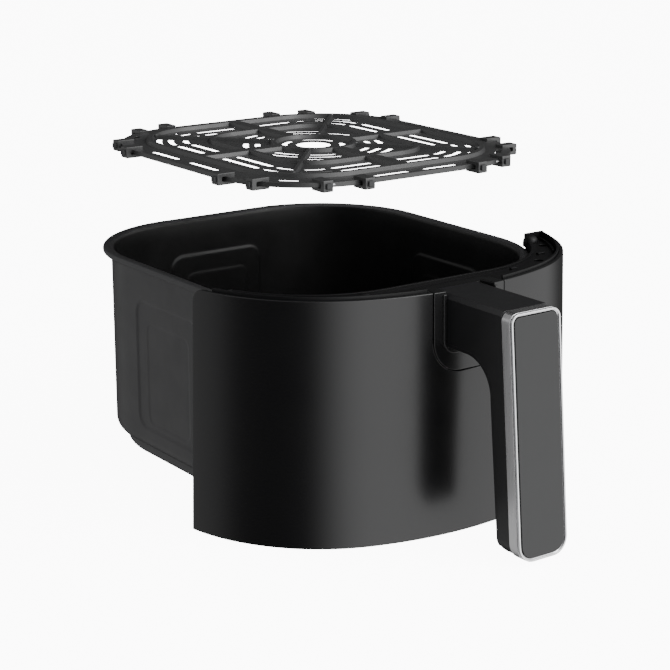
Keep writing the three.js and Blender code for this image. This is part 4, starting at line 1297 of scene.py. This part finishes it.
def build_plate():
    outline = densify(round_rect(PLATE_HALF_X, PLATE_HALF_Y, PLATE_RADIUS, 18), 8)
    holes = [circle(HOLE_RADIUS, 48), *plate_slots()]
    parts = [shell(outline, holes, flat_at(PLATE_TOP), PLATE_WEB, 0.2)]
    flange = rectangle(-1.6, 0, PLATE_TOP - PLATE_FLANGE, PLATE_TOP - 0.1)
    parts.append(sweep_ring(outline, soften(flange, [0.5, 0.5, 0.5, 0.1], 3)))
    parts += plate_ribs()
    for turn, along, tip in lug_places():
        parts.append(turned(lug_part(along, tip), turn))
    add("crisper_tray", parts, plate_coating(), "crisper", "crisper_plate")
    rubber = silicone()
    for i, lug in enumerate(lug_places()):
        build_bumper(i, *lug, rubber)
    for i in range(ROD_COUNT):
        build_rod(i)


def build_rod(i):
    """A rod along X or Y, whichever way its CAD node runs."""
    low, high = span(f"rod_{i + 1}")
    size = high - low
    axis = int(size[1] > size[0])
    along = np.eye(3)[axis]
    end = np.where(along > 0, high, (low + high) / 2)
    place = square(np.cross(UP, along), UP, end, along)
    rod = shell(circle(ROD_RADIUS, 18), [], place, size[axis], 0.15)
    add(f"pin_{i + 1}", [rod], steel(), "crisper", f"rod_{i + 1}")


# ---- studio
def wall_ramp(nodes):
    """A grey ramp of the walls' strengths over their directions, from 0 to 1 all the way round."""
    ramp = nodes.new("ShaderNodeValToRGB")
    ramp.color_ramp.interpolation = "B_SPLINE"
    elements = ramp.color_ramp.elements
    while len(elements) < len(WALLS):
        elements.new(0.5)
    for element, (turn, strength) in zip(elements, WALLS):
        element.position = (turn + 180) / 360
        element.color = (*[strength / WALL_PEAK] * 3, 1)
    return ramp


def background(nodes, strength):
    node = nodes.new("ShaderNodeBackground")
    set_inputs(node, {"Color": (1, 1, 1, 1), "Strength": strength})
    return node


def maths(nodes, operation):
    node = nodes.new("ShaderNodeMath")
    node.operation = operation
    return node


def build_world():
    """Walls that light the object, and a plain backdrop that only the camera sees."""
    world = bpy.data.worlds.new("studio")
    bpy.context.scene.world = world
    world.use_nodes = True
    nodes = world.node_tree.nodes
    nodes.clear()
    where = nodes.new("ShaderNodeTexCoord")
    split = nodes.new("ShaderNodeSeparateXYZ")
    flip = maths(nodes, "MULTIPLY")
    flip.inputs[1].default_value = -1
    turn = maths(nodes, "ARCTAN2")
    share = nodes.new("ShaderNodeMapRange")
    set_inputs(share, {"From Min": -math.pi, "From Max": math.pi})
    ramp = wall_ramp(nodes)
    studio = background(nodes, WALL_PEAK)
    rays = nodes.new("ShaderNodeLightPath")
    mix = nodes.new("ShaderNodeMixShader")
    out = nodes.new("ShaderNodeOutputWorld")
    for source, target in [
        (where.outputs["Generated"], split.inputs["Vector"]),
        (split.outputs["Y"], flip.inputs[0]),
        (split.outputs["X"], turn.inputs[0]),
        (flip.outputs[0], turn.inputs[1]),
        (turn.outputs[0], share.inputs["Value"]),
        (share.outputs["Result"], ramp.inputs["Fac"]),
        (ramp.outputs["Color"], studio.inputs["Color"]),
        (rays.outputs["Is Camera Ray"], mix.inputs["Fac"]),
        (studio.outputs[0], mix.inputs[1]),
        (background(nodes, BACKDROP_STRENGTH).outputs[0], mix.inputs[2]),
        (mix.outputs[0], out.inputs["Surface"]),
    ]:
        world.node_tree.links.new(source, target)


def floor_finish():
    material, shader = new_material("floor", (0.9, 0.9, 0.9), 0.9)
    set_inputs(shader, {"Emission Color": (1, 1, 1, 1), "Emission Strength": FLOOR_GLOW})
    vary_roughness(material, shader, noise(material, 3), 0.85, 0.95)
    return material


def build_floor():
    half = 6.0
    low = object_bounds()[0][2] - 0.0005
    mesh = bpy.data.meshes.new("floor")
    corners = [(x, y, low) for x, y in rectangle(-half, half, -half, half)]
    mesh.from_pydata(corners, [], [(0, 1, 2, 3)])
    mesh.materials.append(floor_finish())
    floor = new_object("floor", mesh)
    floor.visible_glossy = False
    floor.visible_diffuse = False


def soft_light(name, location, target, size, power):
    data = bpy.data.lights.new(name, "AREA")
    data.shape = "RECTANGLE"
    data.size, data.size_y = size
    data.energy = power
    light = new_object(name, data)
    light.location = location
    direction = Vector(target) - Vector(location)
    light.rotation_euler = direction.to_track_quat("-Z", "Y").to_euler()
    light.visible_camera = False
    return light


def build_lights():
    soft_light("key", (0.9, -1.6, 1.6), (0, 0, 0.1), (1.2, 1.2), 20)
    soft_light("top", (-0.2, 0.3, 2.0), (0, 0, 0.1), (1.6, 1.6), 2.5)
    soft_light("left", (-1.9, 0.2, 0.35), (0, 0, 0.08), (0.8, 1.4), 12).visible_glossy = False


def build_camera():
    data = bpy.data.cameras.new("camera")
    data.lens = 100
    data.sensor_width = 36
    camera = new_object("camera", data)
    camera.location = CAMERA_SPOT
    camera.rotation_euler = (math.radians(CAMERA_TILT), 0, math.radians(CAMERA_TURN))
    bpy.context.scene.camera = camera


build_pot()
build_cover()
build_shield()
build_bracket()
build_socket()
build_handle()
build_screws()
build_plate()
build_world()
build_floor()
build_lights()
build_camera()
